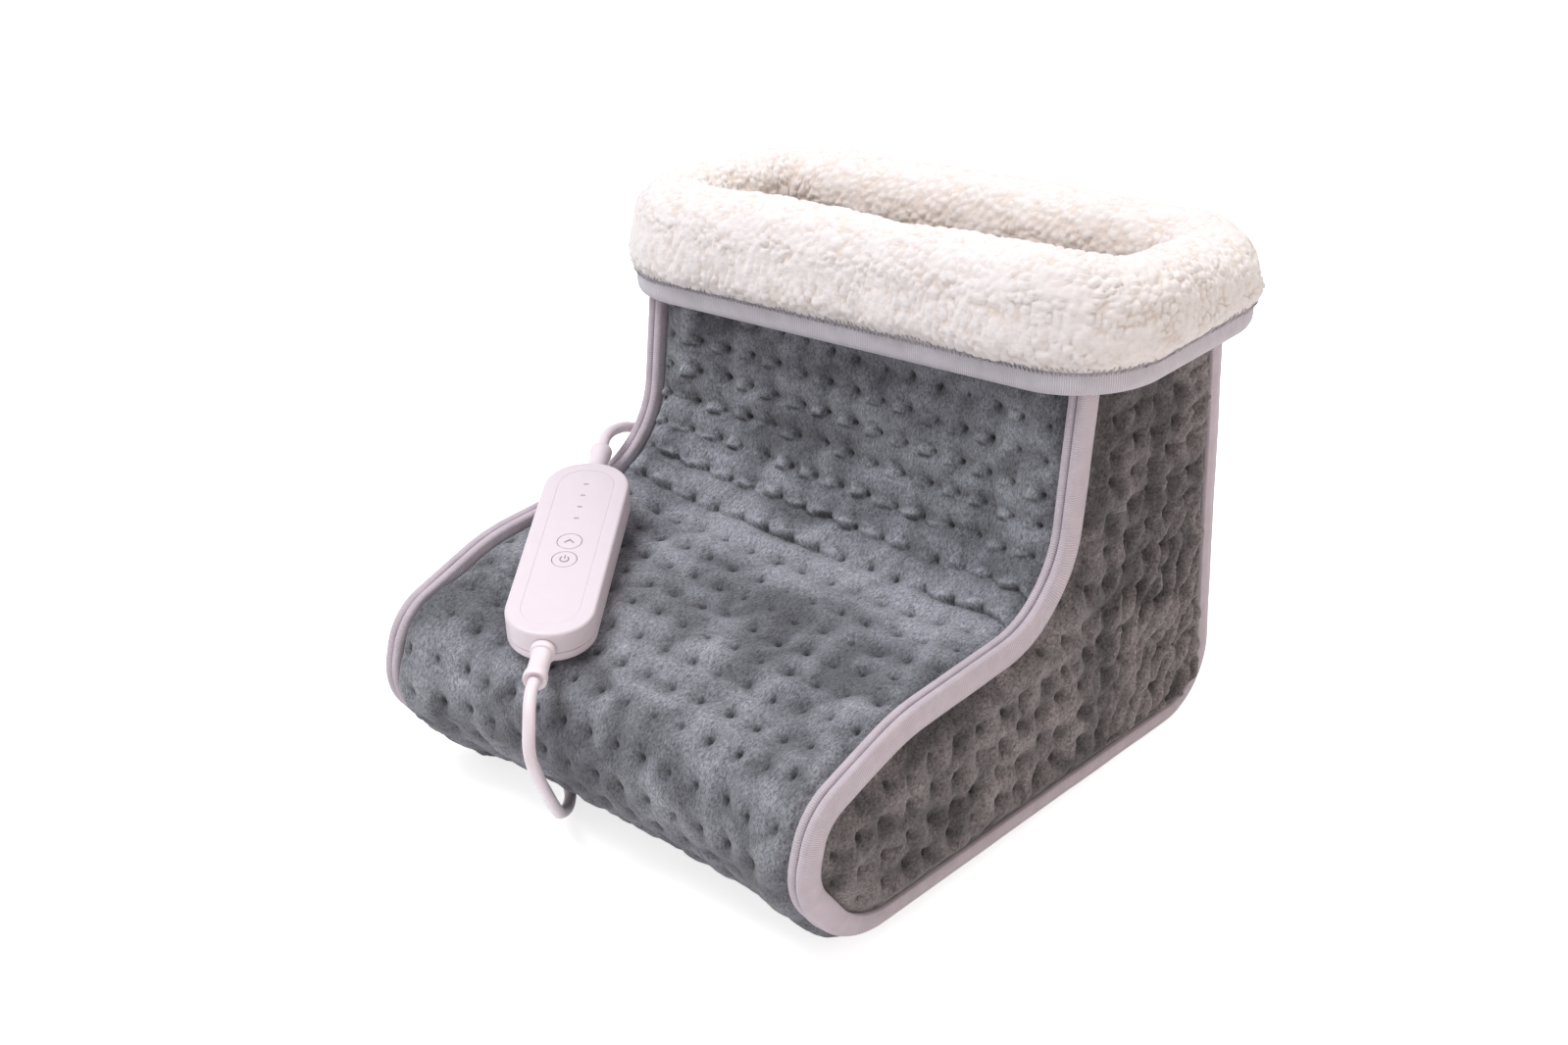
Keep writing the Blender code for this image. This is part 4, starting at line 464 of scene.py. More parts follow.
def boot_path(inset, ground=None, heel=None):
    """Points of the outline moved inward by an inset; ground and heel move its bottom and back edges."""
    insets = [inset] * len(OUTLINE)
    insets[5] = inset if ground is None else ground
    insets[6] = inset if heel is None else heel
    insets[7] = 0
    lines = []
    for index, here in enumerate(OUTLINE):
        after = OUTLINE[(index + 1) % len(OUTLINE)]
        along = Vector((after[0] - here[0], after[1] - here[1])).normalized()
        lines.append((Vector(here[:2]) + Vector((-along.y, along.x)) * insets[index], along))
    path = []
    for index, here in enumerate(OUTLINE):
        (point_a, along_a), (point_b, along_b) = lines[index - 1], lines[index]
        turn = along_a.x * along_b.y - along_a.y * along_b.x
        between = point_b - point_a
        corner = point_a + along_a * ((between.x * along_b.y - between.y * along_b.x) / turn)
        if here[2] == 0:
            path.append(corner)
            continue
        hand = 1 if turn > 0 else -1
        bend = abs(math.atan2(turn, along_a.dot(along_b)))
        radius = here[2] - inset * hand
        start = corner - along_a * radius * math.tan(bend / 2)
        centre = start + Vector((-along_a.y, along_a.x)) * hand * radius
        for step in range(FILLET_STEPS + 1):
            angle = bend * step / FILLET_STEPS * hand
            path.append(centre + Matrix.Rotation(angle, 2) @ (start - centre))
    return np.array([tuple(point) for point in path])


def walked(path):
    """Distance walked at each point of a path."""
    return np.concatenate([[0], np.cumsum(np.hypot(*np.diff(path, axis=0).T))])


def spots_on(path, steps, distances):
    """Places on a path where it has walked these distances."""
    return np.column_stack([np.interp(distances, steps, path[:, axis]) for axis in (0, 1)])


def along_path(path, distances, reach=1.5 * MM):
    """Places and inward normals at distances along a path; the normals look a reach ahead and behind."""
    steps = walked(path)
    way = spots_on(path, steps, distances + reach) - spots_on(path, steps, distances - reach)
    way /= np.linalg.norm(way, axis=1)[:, None]
    return spots_on(path, steps, distances), np.column_stack([-way[:, 1], way[:, 0]])


def distance_at_reach(path, reach):
    """Distance along the path at which its bottom edge lies reach forward of the heel."""
    steps = walked(path)
    low = path[:, 1] < 0.03
    return float(np.interp(-reach, path[low, 0], steps[low]))


# %% [markdown]
# ## Quilting
# Plush, wadding and lining are tacked together by short stitches a little under 17 mm apart. Each stitch
# pulls a narrow pit, and the cloth swells between them. On the toe each row sits 5 mm further right than
# the one behind it. Where the cloth is bent, over the instep and up the shaft, creases join the pits and
# small rolls stand between them. The swelling is a cloth simulation, and the pits and creases are added to
# its result, because they are narrower than the simulated cloth's grid.

# %% Stitches and puffs
PITCH = 16.7 * MM
TOE_PITCH = 18.0 * MM
ROW_SHIFT = 5.0 * MM
JITTER = 0.9 * MM
PUFF = 0.8 * MM
rng = np.random.default_rng(7)


def soft(values, low, high):
    """Smooth step from 0 at low to 1 at high."""
    share = np.clip((values - low) / (high - low), 0, 1)
    return share * share * (3 - 2 * share)


def ripple(across, along, size, seed):
    """Smooth noise about zero over a flat sheet, with a size in metres."""
    return np.array([noise.noise((a / size, b / size, seed)) for a, b in zip(across, along)])


def stitch_rows(start, end, half, shaft_end, toe_end):
    """Stitch places on a strip: rows along it, each with its own sideways start."""
    places, row, shift = [], start + 3 * MM, 0.0
    while row < end:
        on_toe = shaft_end < row < toe_end
        first = -half + 4 * MM + (shift - 4 * MM + PITCH / 2) % PITCH
        count = int((half - 4 * MM - first) / PITCH) + 1
        for column in range(count):
            places.append((first + column * PITCH, row))
        row += TOE_PITCH if on_toe else PITCH
        shift += ROW_SHIFT if on_toe else 0
    places = np.array(places)
    return places + rng.uniform(-JITTER, JITTER, places.shape)


def tree_of(points):
    """A search tree over flat points."""
    tree = KDTree(len(points))
    for index, (a, b) in enumerate(points):
        tree.insert((a, b, 0), index)
    tree.balance()
    return tree


def nearest(points, others):
    """The number of the nearest of the others to each point."""
    tree = tree_of(others)
    return [tree.find((a, b, 0))[1] for a, b in points]


def creases(across, along, wide, long, seed, width):
    """Thin wandering lines, 1 on a line and 0 away from it: the zero lines of a stretched noise."""
    value = np.array([noise.noise((a / wide, b / long, seed)) for a, b in zip(across, along)])
    return np.exp(-(value * min(wide, long) / (1.3 * width)) ** 2)


def bell(values, width, power=2):
    """A smooth bump: 1 at zero, and near 0 past a width; a higher power gives a flatter top."""
    return np.exp(-(values / width) ** power)


def quilt_height(points, stitches, look):
    """Height over the tacked plane, and a painted shade for pits, grooves and lapped creases. The look holds
    the share of each form.
    """
    found = nearest(points, stitches)
    side, down = (points - stitches[found]).T
    strength = rng.uniform(0.6, 1.3, len(stitches))[found]
    size = rng.uniform(0.15, 1.25, len(stitches))[found]
    across, along = points.T
    wander = 0.8 * MM * ripple(across, along, 7 * MM, 1.9)

    # Each stitch pulls a narrow pit inside a wide dimple.
    pit = strength * bell(side, 1.1 * MM) * bell(down, 1.7 * MM)
    dimple = strength * bell(np.hypot(side, down), 5 * MM)
    # A lens-shaped roll stands left of a stitch, with a groove under it. A faint crease links the stitches.
    left = side + 5.2 * MM
    roll = size * bell(np.hypot(left / 4.6, (down + wander) / 2.6), 1 * MM, 4)
    groove = size * bell(down + wander - 3.2 * MM, 0.9 * MM) * bell(left, 4.2 * MM, 4)
    link = bell(down + wander, 1.1 * MM) * (1 - roll)
    # In the bend the cloth above laps over the cloth below, along a scalloped line.
    lip = down - 3.2 * MM * (2 * np.abs(side) / PITCH) ** 0.8 + wander
    some = np.clip(0.65 + 1.5 * ripple(across, along, 42 * MM, 2.2), 0, 1.3)
    overlap = -np.tanh(lip / (0.6 * MM)) * np.exp(-np.abs(lip) / (3.4 * MM)) * some
    under = bell(lip - 0.7 * MM, 0.8 * MM) * some
    # Loose creases and wide valleys wander over the whole cloth.
    cross = creases(across, along, 21 * MM, 24 * MM, 6.4, 0.9 * MM)
    valley = creases(across, along, 34 * MM, 26 * MM, 3.3, 4 * MM)

    height = PUFF
    for depth, wide, seed in ((0.9 * MM, 60 * MM, 3.1), (0.8 * MM, 14 * MM, 8.4), (0.25 * MM, 4 * MM, 5.5)):
        height = height + depth * ripple(across, along, wide, seed)
    height -= 2.0 * MM * pit + 1.6 * MM * dimple * look["dimple"] + 1.3 * MM * valley * look["valley"]
    height += (2.1 * MM * roll - 1.3 * MM * groove - 0.7 * MM * link) * look["fold"]
    height += 2.3 * MM * overlap * look["bend"] - 0.9 * MM * cross * (0.15 + 0.7 * look["fold"])
    # Painted shade: the colour darkens where a stitch, a lapped edge or a groove sinks in.
    painted_shade_mask = np.maximum(pit, 0.7 * under * look["bend"])
    return height, np.clip(np.maximum(painted_shade_mask, 0.45 * groove * look["fold"]), 0, 1)


# %% Cloth that swells between its stitches
CLOTH_UNIT = 10 * MM
CLOTH_FRAMES = 18
PRESSURE = 1.5
SPARE_CLOTH = 0.03
MOST_SWELL = 4 * MM


def swollen(points, faces, held):
    """Let a face swell under pressure with some spare cloth; points move at most so far. Held points stay."""
    points = np.asarray(points, float)
    data = bpy.data.meshes.new("cloth")
    data.from_pydata([tuple(point / CLOTH_UNIT) for point in points], [], faces)
    piece = bpy.data.objects.new("cloth", data)
    bpy.context.scene.collection.objects.link(piece)
    group = piece.vertex_groups.new(name="held")
    group.add([int(index) for index in held], 1.0, "REPLACE")
    pick(piece)
    cloth = piece.modifiers.new("cloth", "CLOTH")
    cloth.settings.mass = 0.3
    cloth.settings.tension_stiffness = cloth.settings.compression_stiffness = 15
    cloth.settings.bending_stiffness = 0.02
    cloth.settings.use_pressure = True
    cloth.settings.uniform_pressure_force = PRESSURE
    cloth.settings.shrink_min = -SPARE_CLOTH
    cloth.settings.vertex_group_mass = "held"
    cloth.settings.effector_weights.gravity = 0
    cloth.point_cache.frame_start, cloth.point_cache.frame_end = 1, CLOTH_FRAMES
    for frame_number in range(1, CLOTH_FRAMES + 1):
        bpy.context.scene.frame_set(frame_number)
    bpy.ops.object.modifier_apply(modifier=cloth.name)
    moved = np.array([tuple(vert.co) for vert in piece.data.vertices]) * CLOTH_UNIT - points
    bpy.data.objects.remove(piece, do_unlink=True)
    bpy.context.scene.frame_set(1)
    length = np.linalg.norm(moved, axis=1)
    print("cloth:", len(points), "points moved", round(float(length.mean()) / MM, 2), "mm on average")
    return points + moved * (np.minimum(length, MOST_SWELL) / np.maximum(length, 1e-9))[:, None]


def with_painted_shading(lean, height):
    """Painted light and shade with more added by height: paler on a crown and darker in a hollow."""
    return lean + np.clip(0.085 * (height / MM - 0.6), -0.3, 0.25)


# %% [markdown]
# ### Front and back strips
# The front panel is one long strip: it covers the shaft's front, the instep and the toe, and turns under
# the toe to meet the sole. The back panel is a second strip, up the heel.

# %% Quilted strips
STRIP_HALF = 125.25 * MM
PANEL_INSET = 9.0 * MM
PANEL_THICKNESS = 7.0 * MM
BORDER_BULGE = 5.5 * MM
FLOOR_GAP = 0.4 * MM
GRID = 1.1 * MM
CLOTH_STEP = 3


def grid_faces(rows, columns):
    """Quads of a grid whose points run row by row."""
    wide = columns + 1
    return [(r * wide + c, (r + 1) * wide + c, (r + 1) * wide + c + 1, r * wide + c + 1)
            for r in range(rows) for c in range(columns)]


def on_strip(path, distances, across, height):
    """Points at a height over a strip's tacked plane."""
    places, inward = along_path(path, distances)
    wide = len(across)
    way = np.repeat(inward, wide, axis=0)
    place = np.repeat(places, wide, axis=0) - way * height[:, None]
    return np.column_stack([np.tile(across, len(distances)), place[:, 0] + MIDDLE, place[:, 1]])


def drawn_out(coarse, rows, columns):
    """Vectors of the cloth's grid, drawn out to the fine grid and smoothed."""
    along, across = (np.array([np.interp(np.arange(CLOTH_STEP * count + 1) / CLOTH_STEP,
                                         np.arange(count + 1), unit) for unit in np.eye(count + 1)])
                     for count in (rows, columns))
    fine = np.einsum("ra,rck->ack", along, coarse.reshape(rows + 1, columns + 1, 3))
    fine = np.einsum("ack,cb->abk", fine, across)
    for _ in range(3):
        fine[1:-1] = (fine[:-2] + 2 * fine[1:-1] + fine[2:]) / 4
        fine[:, 1:-1] = (fine[:, :-2] + 2 * fine[:, 1:-1] + fine[:, 2:]) / 4
    return fine.reshape(-1, 3)


def quilted_strip(name, path, start, end, stitches, look_at, node):
    """A closed padded strip: a fine quilted face, and plain quads behind it."""
    rows = round((end - start) / GRID / CLOTH_STEP)
    columns = round(2 * STRIP_HALF / GRID / CLOTH_STEP)
    distances = np.linspace(start, end, CLOTH_STEP * rows + 1)
    across = np.linspace(-STRIP_HALF, STRIP_HALF, CLOTH_STEP * columns + 1)
    flat = np.array([(a, b) for b in distances for a in across])
    look = look_at(flat[:, 1], flat[:, 0])
    height, painted_hollow_shade = quilt_height(flat, stitches, look)
    lean = with_painted_shading(look["lean"], height)
    border = STRIP_HALF - np.abs(flat[:, 0])
    bulge = look["bulge"] + BORDER_BULGE * (1 - soft(border, 12 * MM, 45 * MM))
    rise = soft(border, 0, 5 * MM)
    face = on_strip(path, distances, across, height * rise + bulge * (0.55 + 0.45 * rise))

    sparse = np.array([(a, b) for b in distances[::CLOTH_STEP] for a in across[::CLOTH_STEP]])
    plane = on_strip(path, distances[::CLOTH_STEP], across[::CLOTH_STEP], np.zeros(len(sparse)))
    rim = CLOTH_STEP * GRID / 2
    held = set(nearest(stitches, sparse))
    held |= {index for index, (a, b) in enumerate(sparse)
             if abs(a) > STRIP_HALF - rim or b < start + rim or b > end - rim}
    swell = drawn_out(swollen(plane, grid_faces(rows, columns), held) - plane, rows, columns)
    face += swell * (look["swell"] * soft(border, 0, 8 * MM))[:, None]
    face = pressed_by_control(face)
    face[:, 2] = np.maximum(face[:, 2], FLOOR_GAP)

    places, way = along_path(path, distances)
    back = places + way * PANEL_THICKNESS
    behind = [(side * STRIP_HALF, place[0] + MIDDLE, place[1]) for place in back for side in (-1, 1)]
    wide, long = len(across), len(distances)
    first = len(face)
    faces = grid_faces(long - 1, wide - 1)
    for r in range(long - 1):
        left, right = first + 2 * r, first + 2 * r + 1
        faces.append((left, right, right + 2, left + 2))
        faces.append((r * wide, left, left + 2, (r + 1) * wide))
        faces.append((r * wide + wide - 1, (r + 1) * wide + wide - 1, right + 2, right))
    faces.append((*range(wide), first + 1, first))
    faces.append((*range((long - 1) * wide, long * wide), first + 2 * long - 1, first + 2 * long - 2))
    made = mesh_piece(name, [*face, *behind], faces, GREY_PLUSH)
    mark(made, "painted_hollow_shade", painted_hollow_shade)
    mark(made, "lean", lean)
    belongs(made, "boot", "grey_plush", node)
    print(name, len(made.data.polygons), "faces,", len(stitches), "stitches")
    return made


def pressed_by_control(points):
    """Push the cloth under the hand control down to the case's underside."""
    turn = np.array(CONTROL_FRAME.to_3x3())
    origin = np.array(CONTROL_FRAME.translation)
    near = (points - origin) @ turn
    under = (np.abs(near[:, 0]) < 71 * MM) & (np.abs(near[:, 1]) < 23 * MM) & (near[:, 2] > -30 * MM)
    depth = np.where(under, np.maximum(near[:, 2] + 6.3 * MM, 0), 0)
    print("pressed", round(float(depth.max()) / MM, 2), "mm under the control")
    return points - depth[:, None] * turn[:, 2]


def front_look(s, x):
    """The front's forms by the distance down it: rolls on the shaft, overlaps in the bend, a flat toe."""
    past_bend = soft(s, 0.132, 0.150)
    low_shaft = soft(s, 0.03, 0.07)
    return {"bend": soft(s, 0.096, 0.116) * (1 - soft(s, 0.140, 0.150)),
            "fold": 0.45 + 0.55 * low_shaft + 0.3 * soft(-x, 0.08, 0.11) - 0.92 * past_bend
            - 0.35 * soft(x, 0.0, 0.08) * low_shaft * (1 - past_bend),
            "dimple": 0.8 + 0.3 * past_bend,
            "valley": 0.4 + 0.6 * past_bend,
            "bulge": 4 * MM * soft(s, 0.255, 0.285),
            "swell": 0.75 - 0.3 * soft(s, 0.13, 0.18),
            # Painted light: a paler band just below the instep bend, and painted shade on the shaft's front
            # under the cuff.
            "lean": 0.24 * np.exp(-((s - 0.152) / 0.017) ** 2) - 0.05 * soft(s, 0.12, 0.05)}


def back_look(s, x):
    """The back's forms: even rolls all the way up."""
    even = np.ones(len(s))
    shares = {"bend": 0.1, "fold": 0.6, "dimple": 1, "valley": 0.5, "bulge": 0, "swell": 0.7, "lean": 0}
    return {form: share * even for form, share in shares.items()}


front_path = boot_path(PANEL_INSET, 0)
front_end = distance_at_reach(front_path, 0.2726)
front_stitches = stitch_rows(0, front_end, STRIP_HALF, 0.118, 0.300)
front = quilted_strip("quilted_front", front_path, 0, front_end, front_stitches, front_look, "front_panel")
back_path = boot_path(PANEL_INSET, 0.0006)
back_start = distance_at_reach(back_path, 0.0404)
back_end = walked(back_path)[-1]
back_stitches = stitch_rows(back_start, back_end, STRIP_HALF, 1.0, 1.0)
back = quilted_strip("quilted_back", back_path, back_start, back_end, back_stitches, back_look, "back_panel")

# %% [markdown]
# ### Side panels
# Each side is one piece of the same quilt, cut to the outline inside the tape. A Delaunay triangulation
# fills the outline with even triangles and keeps the border exact. Along the floor and up the heel less of
# the tape shows, because the side bulges over it.

# %% Quilted sides
SIDE_BASE = 125.55 * MM
SIDE_FACE = SIDE_BASE + 7.5 * MM
SIDE_CROWN = 3.5 * MM
SIDE_GRID = 1.6 * MM
SIDE_INSET = 13.3 * MM
UNDER, BEHIND = 0.66, 0.78


def quilted_side(name, side, node):
    """A side panel: crowned, quilted, flat behind."""
    border = boot_path(SIDE_INSET, SIDE_INSET * UNDER, SIDE_INSET * BEHIND)
    border = np.vstack([border, border[:1]])
    length = walked(border)
    count = round(length[-1] / SIDE_GRID)
    ring = spots_on(border, length, np.linspace(0, length[-1], count, endpoint=False))
    tree = tree_of(ring)
    low, high = ring.min(axis=0), ring.max(axis=0)
    inside = []
    for row, height in enumerate(np.arange(low[1], high[1], SIDE_GRID * 0.87)):
        for along in np.arange(low[0] + SIDE_GRID / 2 * (row % 2), high[0], SIDE_GRID):
            if tree.find((along, height, 0))[2] > SIDE_GRID * 0.6:
                inside.append((along, height))
    loop = [Vector(point) for point in ring]
    spots = loop + [Vector(point) for point in inside]
    points, _, triangles, *_ = delaunay_2d_cdt(spots, [], [list(range(count))], 1, 1e-6)
    flat = np.array([tuple(point) for point in points])
    edge = np.array([tree.find((a, b, 0))[2] for a, b in flat])
    stitches = np.array([(a, b) for a in np.arange(low[0] + 6 * MM, high[0], PITCH)
                         for b in np.arange(low[1] + 8 * MM, high[1], PITCH)])
    stitches = stitches + rng.uniform(-2 * JITTER, 2 * JITTER, stitches.shape)
    near_back = soft(flat[:, 0], -0.15, -0.03)
    low_back = near_back * (1 - soft(flat[:, 1], 0.09, 0.17))
    look = {"bend": 0.6 * near_back, "fold": 0.35 + 0.45 * near_back, "dimple": 0.95, "valley": 1.3}
    height, painted_hollow_shade = quilt_height(flat, stitches, look)
    slope = flat[:, 0] - 0.6 * flat[:, 1]
    bunched = np.sin(math.tau * slope / (13 * MM) + 4 * ripple(*flat.T, 26 * MM, 4.4))
    height += 2.2 * MM * ripple(*flat.T, 44 * MM, 7.7) + 2.0 * MM * bunched * low_back
    # Painted light: paler low at the back of each side, with painted shade by height added.
    lean = with_painted_shading(0.1 * low_back, height)
    height += SIDE_CROWN
    lift = height * soft(edge, 0, 11 * MM) - 0.8 * MM * (1 - soft(edge, 0, 3 * MM))
    plane = np.column_stack([np.full(len(flat), side * SIDE_FACE), flat[:, 0] + MIDDLE, flat[:, 1]])
    held = set(nearest(stitches, flat)) | set(np.flatnonzero(edge < SIDE_GRID))
    outward = [tuple(corner if side > 0 else reversed(corner)) for corner in triangles]
    swell = swollen(plane, outward, held) - plane
    size = (0.85 + 0.2 * near_back) * soft(edge, 0, 12 * MM) * (1 - 0.6 * soft(flat[:, 1], 0.185, 0.21))
    face = plane + swell * size[:, None]
    face[:, 0] += side * lift
    order = [int(np.argmin(np.hypot(*(flat - spot).T))) for spot in ring]
    behind = [(side * SIDE_BASE, flat[index, 0] + MIDDLE, flat[index, 1]) for index in order]
    first = len(face)
    faces = [tuple(corner) for corner in triangles]
    for step in range(count):
        after = (step + 1) % count
        faces.append((order[step], order[after], first + after, first + step))
    faces.append(tuple(range(first, first + count)))
    made = mesh_piece(name, [*face, *behind], faces, SHADED_SIDE_PLUSH)
    mark(made, "painted_hollow_shade", painted_hollow_shade)
    mark(made, "lean", lean)
    belongs(made, "boot", "grey_plush", node)
    print(name, len(made.data.polygons), "faces")
    return made


quilted_side("quilted_side_left", -1, "side_panel_left")
quilted_side("quilted_side_right", 1, "side_panel_right")

# %% [markdown]
# ## Bound seams
# Two tapes stand side by side along each seam, one folded over the strip's edge and one over the side's.
# Both have round backs, so a dark groove shows between them. Ribs run across the tape.

# %% Bindings
SEAM_HALF = 130.0 * MM
GROOVE = 0.15 * MM
TAPE_THICK = 4.3 * MM
TAPE_WIDE = 13.0 * MM
TAPE_STEP = 2.5 * MM


def sweep(name, rings, lengths, girth, material, node, slot, closed):
    """Skin rings of equal counts into a closed piece, with a UV map in metres: girth and length."""
    count, turns = len(rings[0]), len(rings)
    points = [tuple(point) for ring in rings for point in ring]
    faces, uvs = [], []
    for step in range(turns if closed else turns - 1):
        ahead = (step + 1) % turns
        for index in range(count):
            after = (index + 1) % count
            faces.append((step * count + index, step * count + after,
                          ahead * count + after, ahead * count + index))
            uvs.append([(girth[index], lengths[step]), (girth[index + 1], lengths[step]),
                        (girth[index + 1], lengths[step + 1]), (girth[index], lengths[step + 1])])
    if not closed:
        faces += [tuple(range(count))[::-1], tuple(range((turns - 1) * count, turns * count))]
        uvs += [[(0, 0)] * count, [(0, 0)] * count]
    made = mesh_piece(name, points, faces, material)
    layer = made.data.uv_layers.new(name="tape")
    spots = {}
    for face, corners in zip(faces, uvs):
        spots[frozenset(face)] = dict(zip(face, corners))
    for polygon in made.data.polygons:
        known = spots[frozenset(polygon.vertices)]
        for loop in polygon.loop_indices:
            layer.data[loop].uv = known[made.data.loops[loop].vertex_index]
    return belongs(made, "boot", slot, node)


def walked_round(section):
    """Distance walked at each corner of a closed section, and at its start again."""
    girth = [0]
    for a, b in zip(section, [*section[1:], section[0]]):
        girth.append(girth[-1] + math.dist(a, b))
    return girth


def tape_section(low, high, proud):
    """A folded tape's section as (inset, across): a round fold at the rim and a swelling outer face."""
    middle, half = (low + high) / 2, abs(high - low) / 2
    hand = 1 if high > low else -1
    section = []
    for step in range(9):
        angle = math.pi * step / 8
        section.append((half * (1 - math.sin(angle)), middle - hand * half * math.cos(angle)))
    for share in (0.35, 0.55, 0.75, 0.9, 1.0):
        swell = proud * math.sin(math.pi * min(1, share * 1.05)) ** 0.8 if share < 0.95 else 0
        section.append((half + (TAPE_WIDE - half) * share, high + hand * swell))
    section.append((TAPE_WIDE, low))
    section.append((TAPE_WIDE * 0.55, low))
    return section


def binding(name, side, low, high, proud, node, seed, under=1.0, behind=1.0):
    """A tape along the rim from the shaft's front top to its back top, narrower under it and behind it."""
    section = tape_section(low, high, proud)
    steps = walked(boot_path(0))
    stations = np.linspace(0, steps[-1], round(steps[-1] / TAPE_STEP) + 1)
    index = np.interp(stations, steps, np.arange(len(steps)))
    wave = np.array([noise.noise((place / (28 * MM), seed, 0.3)) for place in stations])
    ends = soft(stations, 0, 30 * MM) * soft(steps[-1] - stations, 0, 30 * MM)
    columns = []
    for inset, across in section:
        places = spots_on(boot_path(inset, inset * under, inset * behind), np.arange(len(steps)), index)
        push = 0.35 * MM * wave * ends * (1 if abs(across) > SEAM_HALF else 0.3) * (inset > MM)
        columns.append(np.column_stack([side * (across + push), places[:, 0] + MIDDLE, places[:, 1]]))
    rings = np.stack(columns, axis=1)
    return sweep(name, rings, [*stations, 0], walked_round(section), LILAC_TAPE, node, "lilac_grey_tape",
                 closed=False)


for word, side in (("left", -1), ("right", 1)):
    binding(f"side_tape_{word}", side, SEAM_HALF + GROOVE, SEAM_HALF + GROOVE + TAPE_THICK, 1.1 * MM,
            f"side_binding_{word}", 2.0 + side, UNDER, BEHIND)
    binding(f"strip_tape_{word}", side, SEAM_HALF - GROOVE, SEAM_HALF - GROOVE - TAPE_THICK, -0.25 * MM,
            f"strip_binding_{word}", 6.0 + side)
print("bindings swept")

# %% [markdown]
# ## Fleece cuff
# The lining is rolled out over the shaft's top: thick and round at the front, lower at the back, and rising
# to the right. A smooth lofted shape gives the roll. The curls are lumps of 4 to 6 mm with a thin crease
# between them, cells of a warped Voronoi pattern. Inside the mouth the curls take more of the warm crevice
# colour, a painted shade of the mouth's inside.

# %% Cuff shape
CUFF_HALF = 160.0 * MM
CUFF_FRONT = 156.0 * MM
CUFF_BACK = -8.0 * MM
CREST = 268.6 * MM
CREST_TILT = 0.080
CREST_PITCH = 0.098
ROLL_RADIUS = 23 * MM
HEM_TILT = 0.074
HEM_SEAM = 225.1 * MM
HEM_CORNER = 42 * MM
COVER = (138.6 * MM, 141.1 * MM, 14.5 * MM)
PILE_GRID = 1.2 * MM
COUNTED_CORNER = 46 * MM
LINING_THICKNESS = 8.5 * MM
LINING_CORNER = 12 * MM
LINING_LOW = 200.3 * MM


def cuff_ring(half_width, front, back, corner, height, tilt, spacing=PILE_GRID):
    """Points of a rounded rectangle round the shaft; counts come from the widest ring."""
    on_corner = round(math.pi / 2 * COUNTED_CORNER / spacing)
    on_sides = [round(2 * (CUFF_HALF - COUNTED_CORNER) / spacing),
                round((CUFF_FRONT - CUFF_BACK - 2 * COUNTED_CORNER) / spacing)]
    length, middle = front - back, MIDDLE - (front + back) / 2
    corners = ((1, 1), (-1, 1), (-1, -1), (1, -1))
    points = []
    for number, (right, up) in enumerate(corners):
        centre = np.array((right * (half_width - corner), up * (length / 2 - corner)))
        for step in range(on_corner):
            angle = math.pi / 2 * (number + step / on_corner)
            points.append(centre + corner * np.array((math.cos(angle), math.sin(angle))))
        angle = math.pi / 2 * (number + 1)
        reach = corner * np.array((math.cos(angle), math.sin(angle)))
        right_after, up_after = corners[(number + 1) % 4]
        target = np.array((right_after * (half_width - corner), up_after * (length / 2 - corner))) + reach
        count = on_sides[number % 2]
        for step in range(count):
            points.append(centre + reach + (target - centre - reach) * step / count)
    points = np.array(points)
    return np.column_stack([points[:, 0], points[:, 1] + middle, height + tilt * points[:, 0]])


def outer_ring(setback, corner, height, tilt):
    """A ring set back from the cuff's widest outline."""
    return cuff_ring(CUFF_HALF - setback, CUFF_FRONT - setback, setback + CUFF_BACK, corner, height, tilt)


def lining_ring(thickness, corner, height):
    """A level ring inside the shaft, a thickness of fleece further in."""
    inset = 17.6 * MM + thickness
    return cuff_ring(STRIP_HALF - thickness, 136.7 * MM - inset, 18 * MM + inset, corner, height, 0)


def roll_ring(angle):
    """A ring of the roll: it faces outward at angle 0, up at a quarter turn and inward at a half turn."""
    share = (1 - math.cos(angle)) / 2
    outside, inside = outer_ring(0, 56 * MM, 0, 0), lining_ring(LINING_THICKNESS, LINING_CORNER, 0)
    ring = outside + (inside - outside) * share
    middle = MIDDLE - (CUFF_FRONT + CUFF_BACK) / 2
    ring[:, 2] = CREST - ROLL_RADIUS * (1 - math.sin(angle)) + CREST_TILT * ring[:, 0]
    ring[:, 2] -= CREST_PITCH * (ring[:, 1] - middle) + 6 * MM * soft(ring[:, 0], 105 * MM, 155 * MM)
    return ring


def through_rings(rings, spacing):
    """Rings along a smooth line through key rings, about a spacing apart."""
    keys = np.array(rings)
    gaps = np.linalg.norm(np.diff(keys, axis=0), axis=2).mean(axis=1)
    made = []
    for index, gap in enumerate(gaps):
        start, end = keys[index], keys[index + 1]
        before = keys[max(index - 1, 0)]
        after = keys[min(index + 2, len(keys) - 1)]
        leave = (end - before) / (gap + (gaps[index - 1] if index else 0)) * gap
        following = gaps[index + 1] if index + 2 < len(keys) else 0
        arrive = (after - start) / (gap + following) * gap
        count = max(1, round(gap / spacing))
        for step in range(count):
            part = step / count
            square, cube = part * part, part ** 3
            made.append(start * (2 * cube - 3 * square + 1) + leave * (cube - 2 * square + part)
                        + end * (3 * square - 2 * cube) + arrive * (cube - square))
    made.append(keys[-1])
    return made


# %% Curly pile
CURL = 4.8 * MM
PILE = 1.7 * MM
HIDDEN_CORNER = 5 * MM
SHAFT_TOP = 236.8 * MM
noise.seed_set(4)  # the vector noise below starts from the clock without it


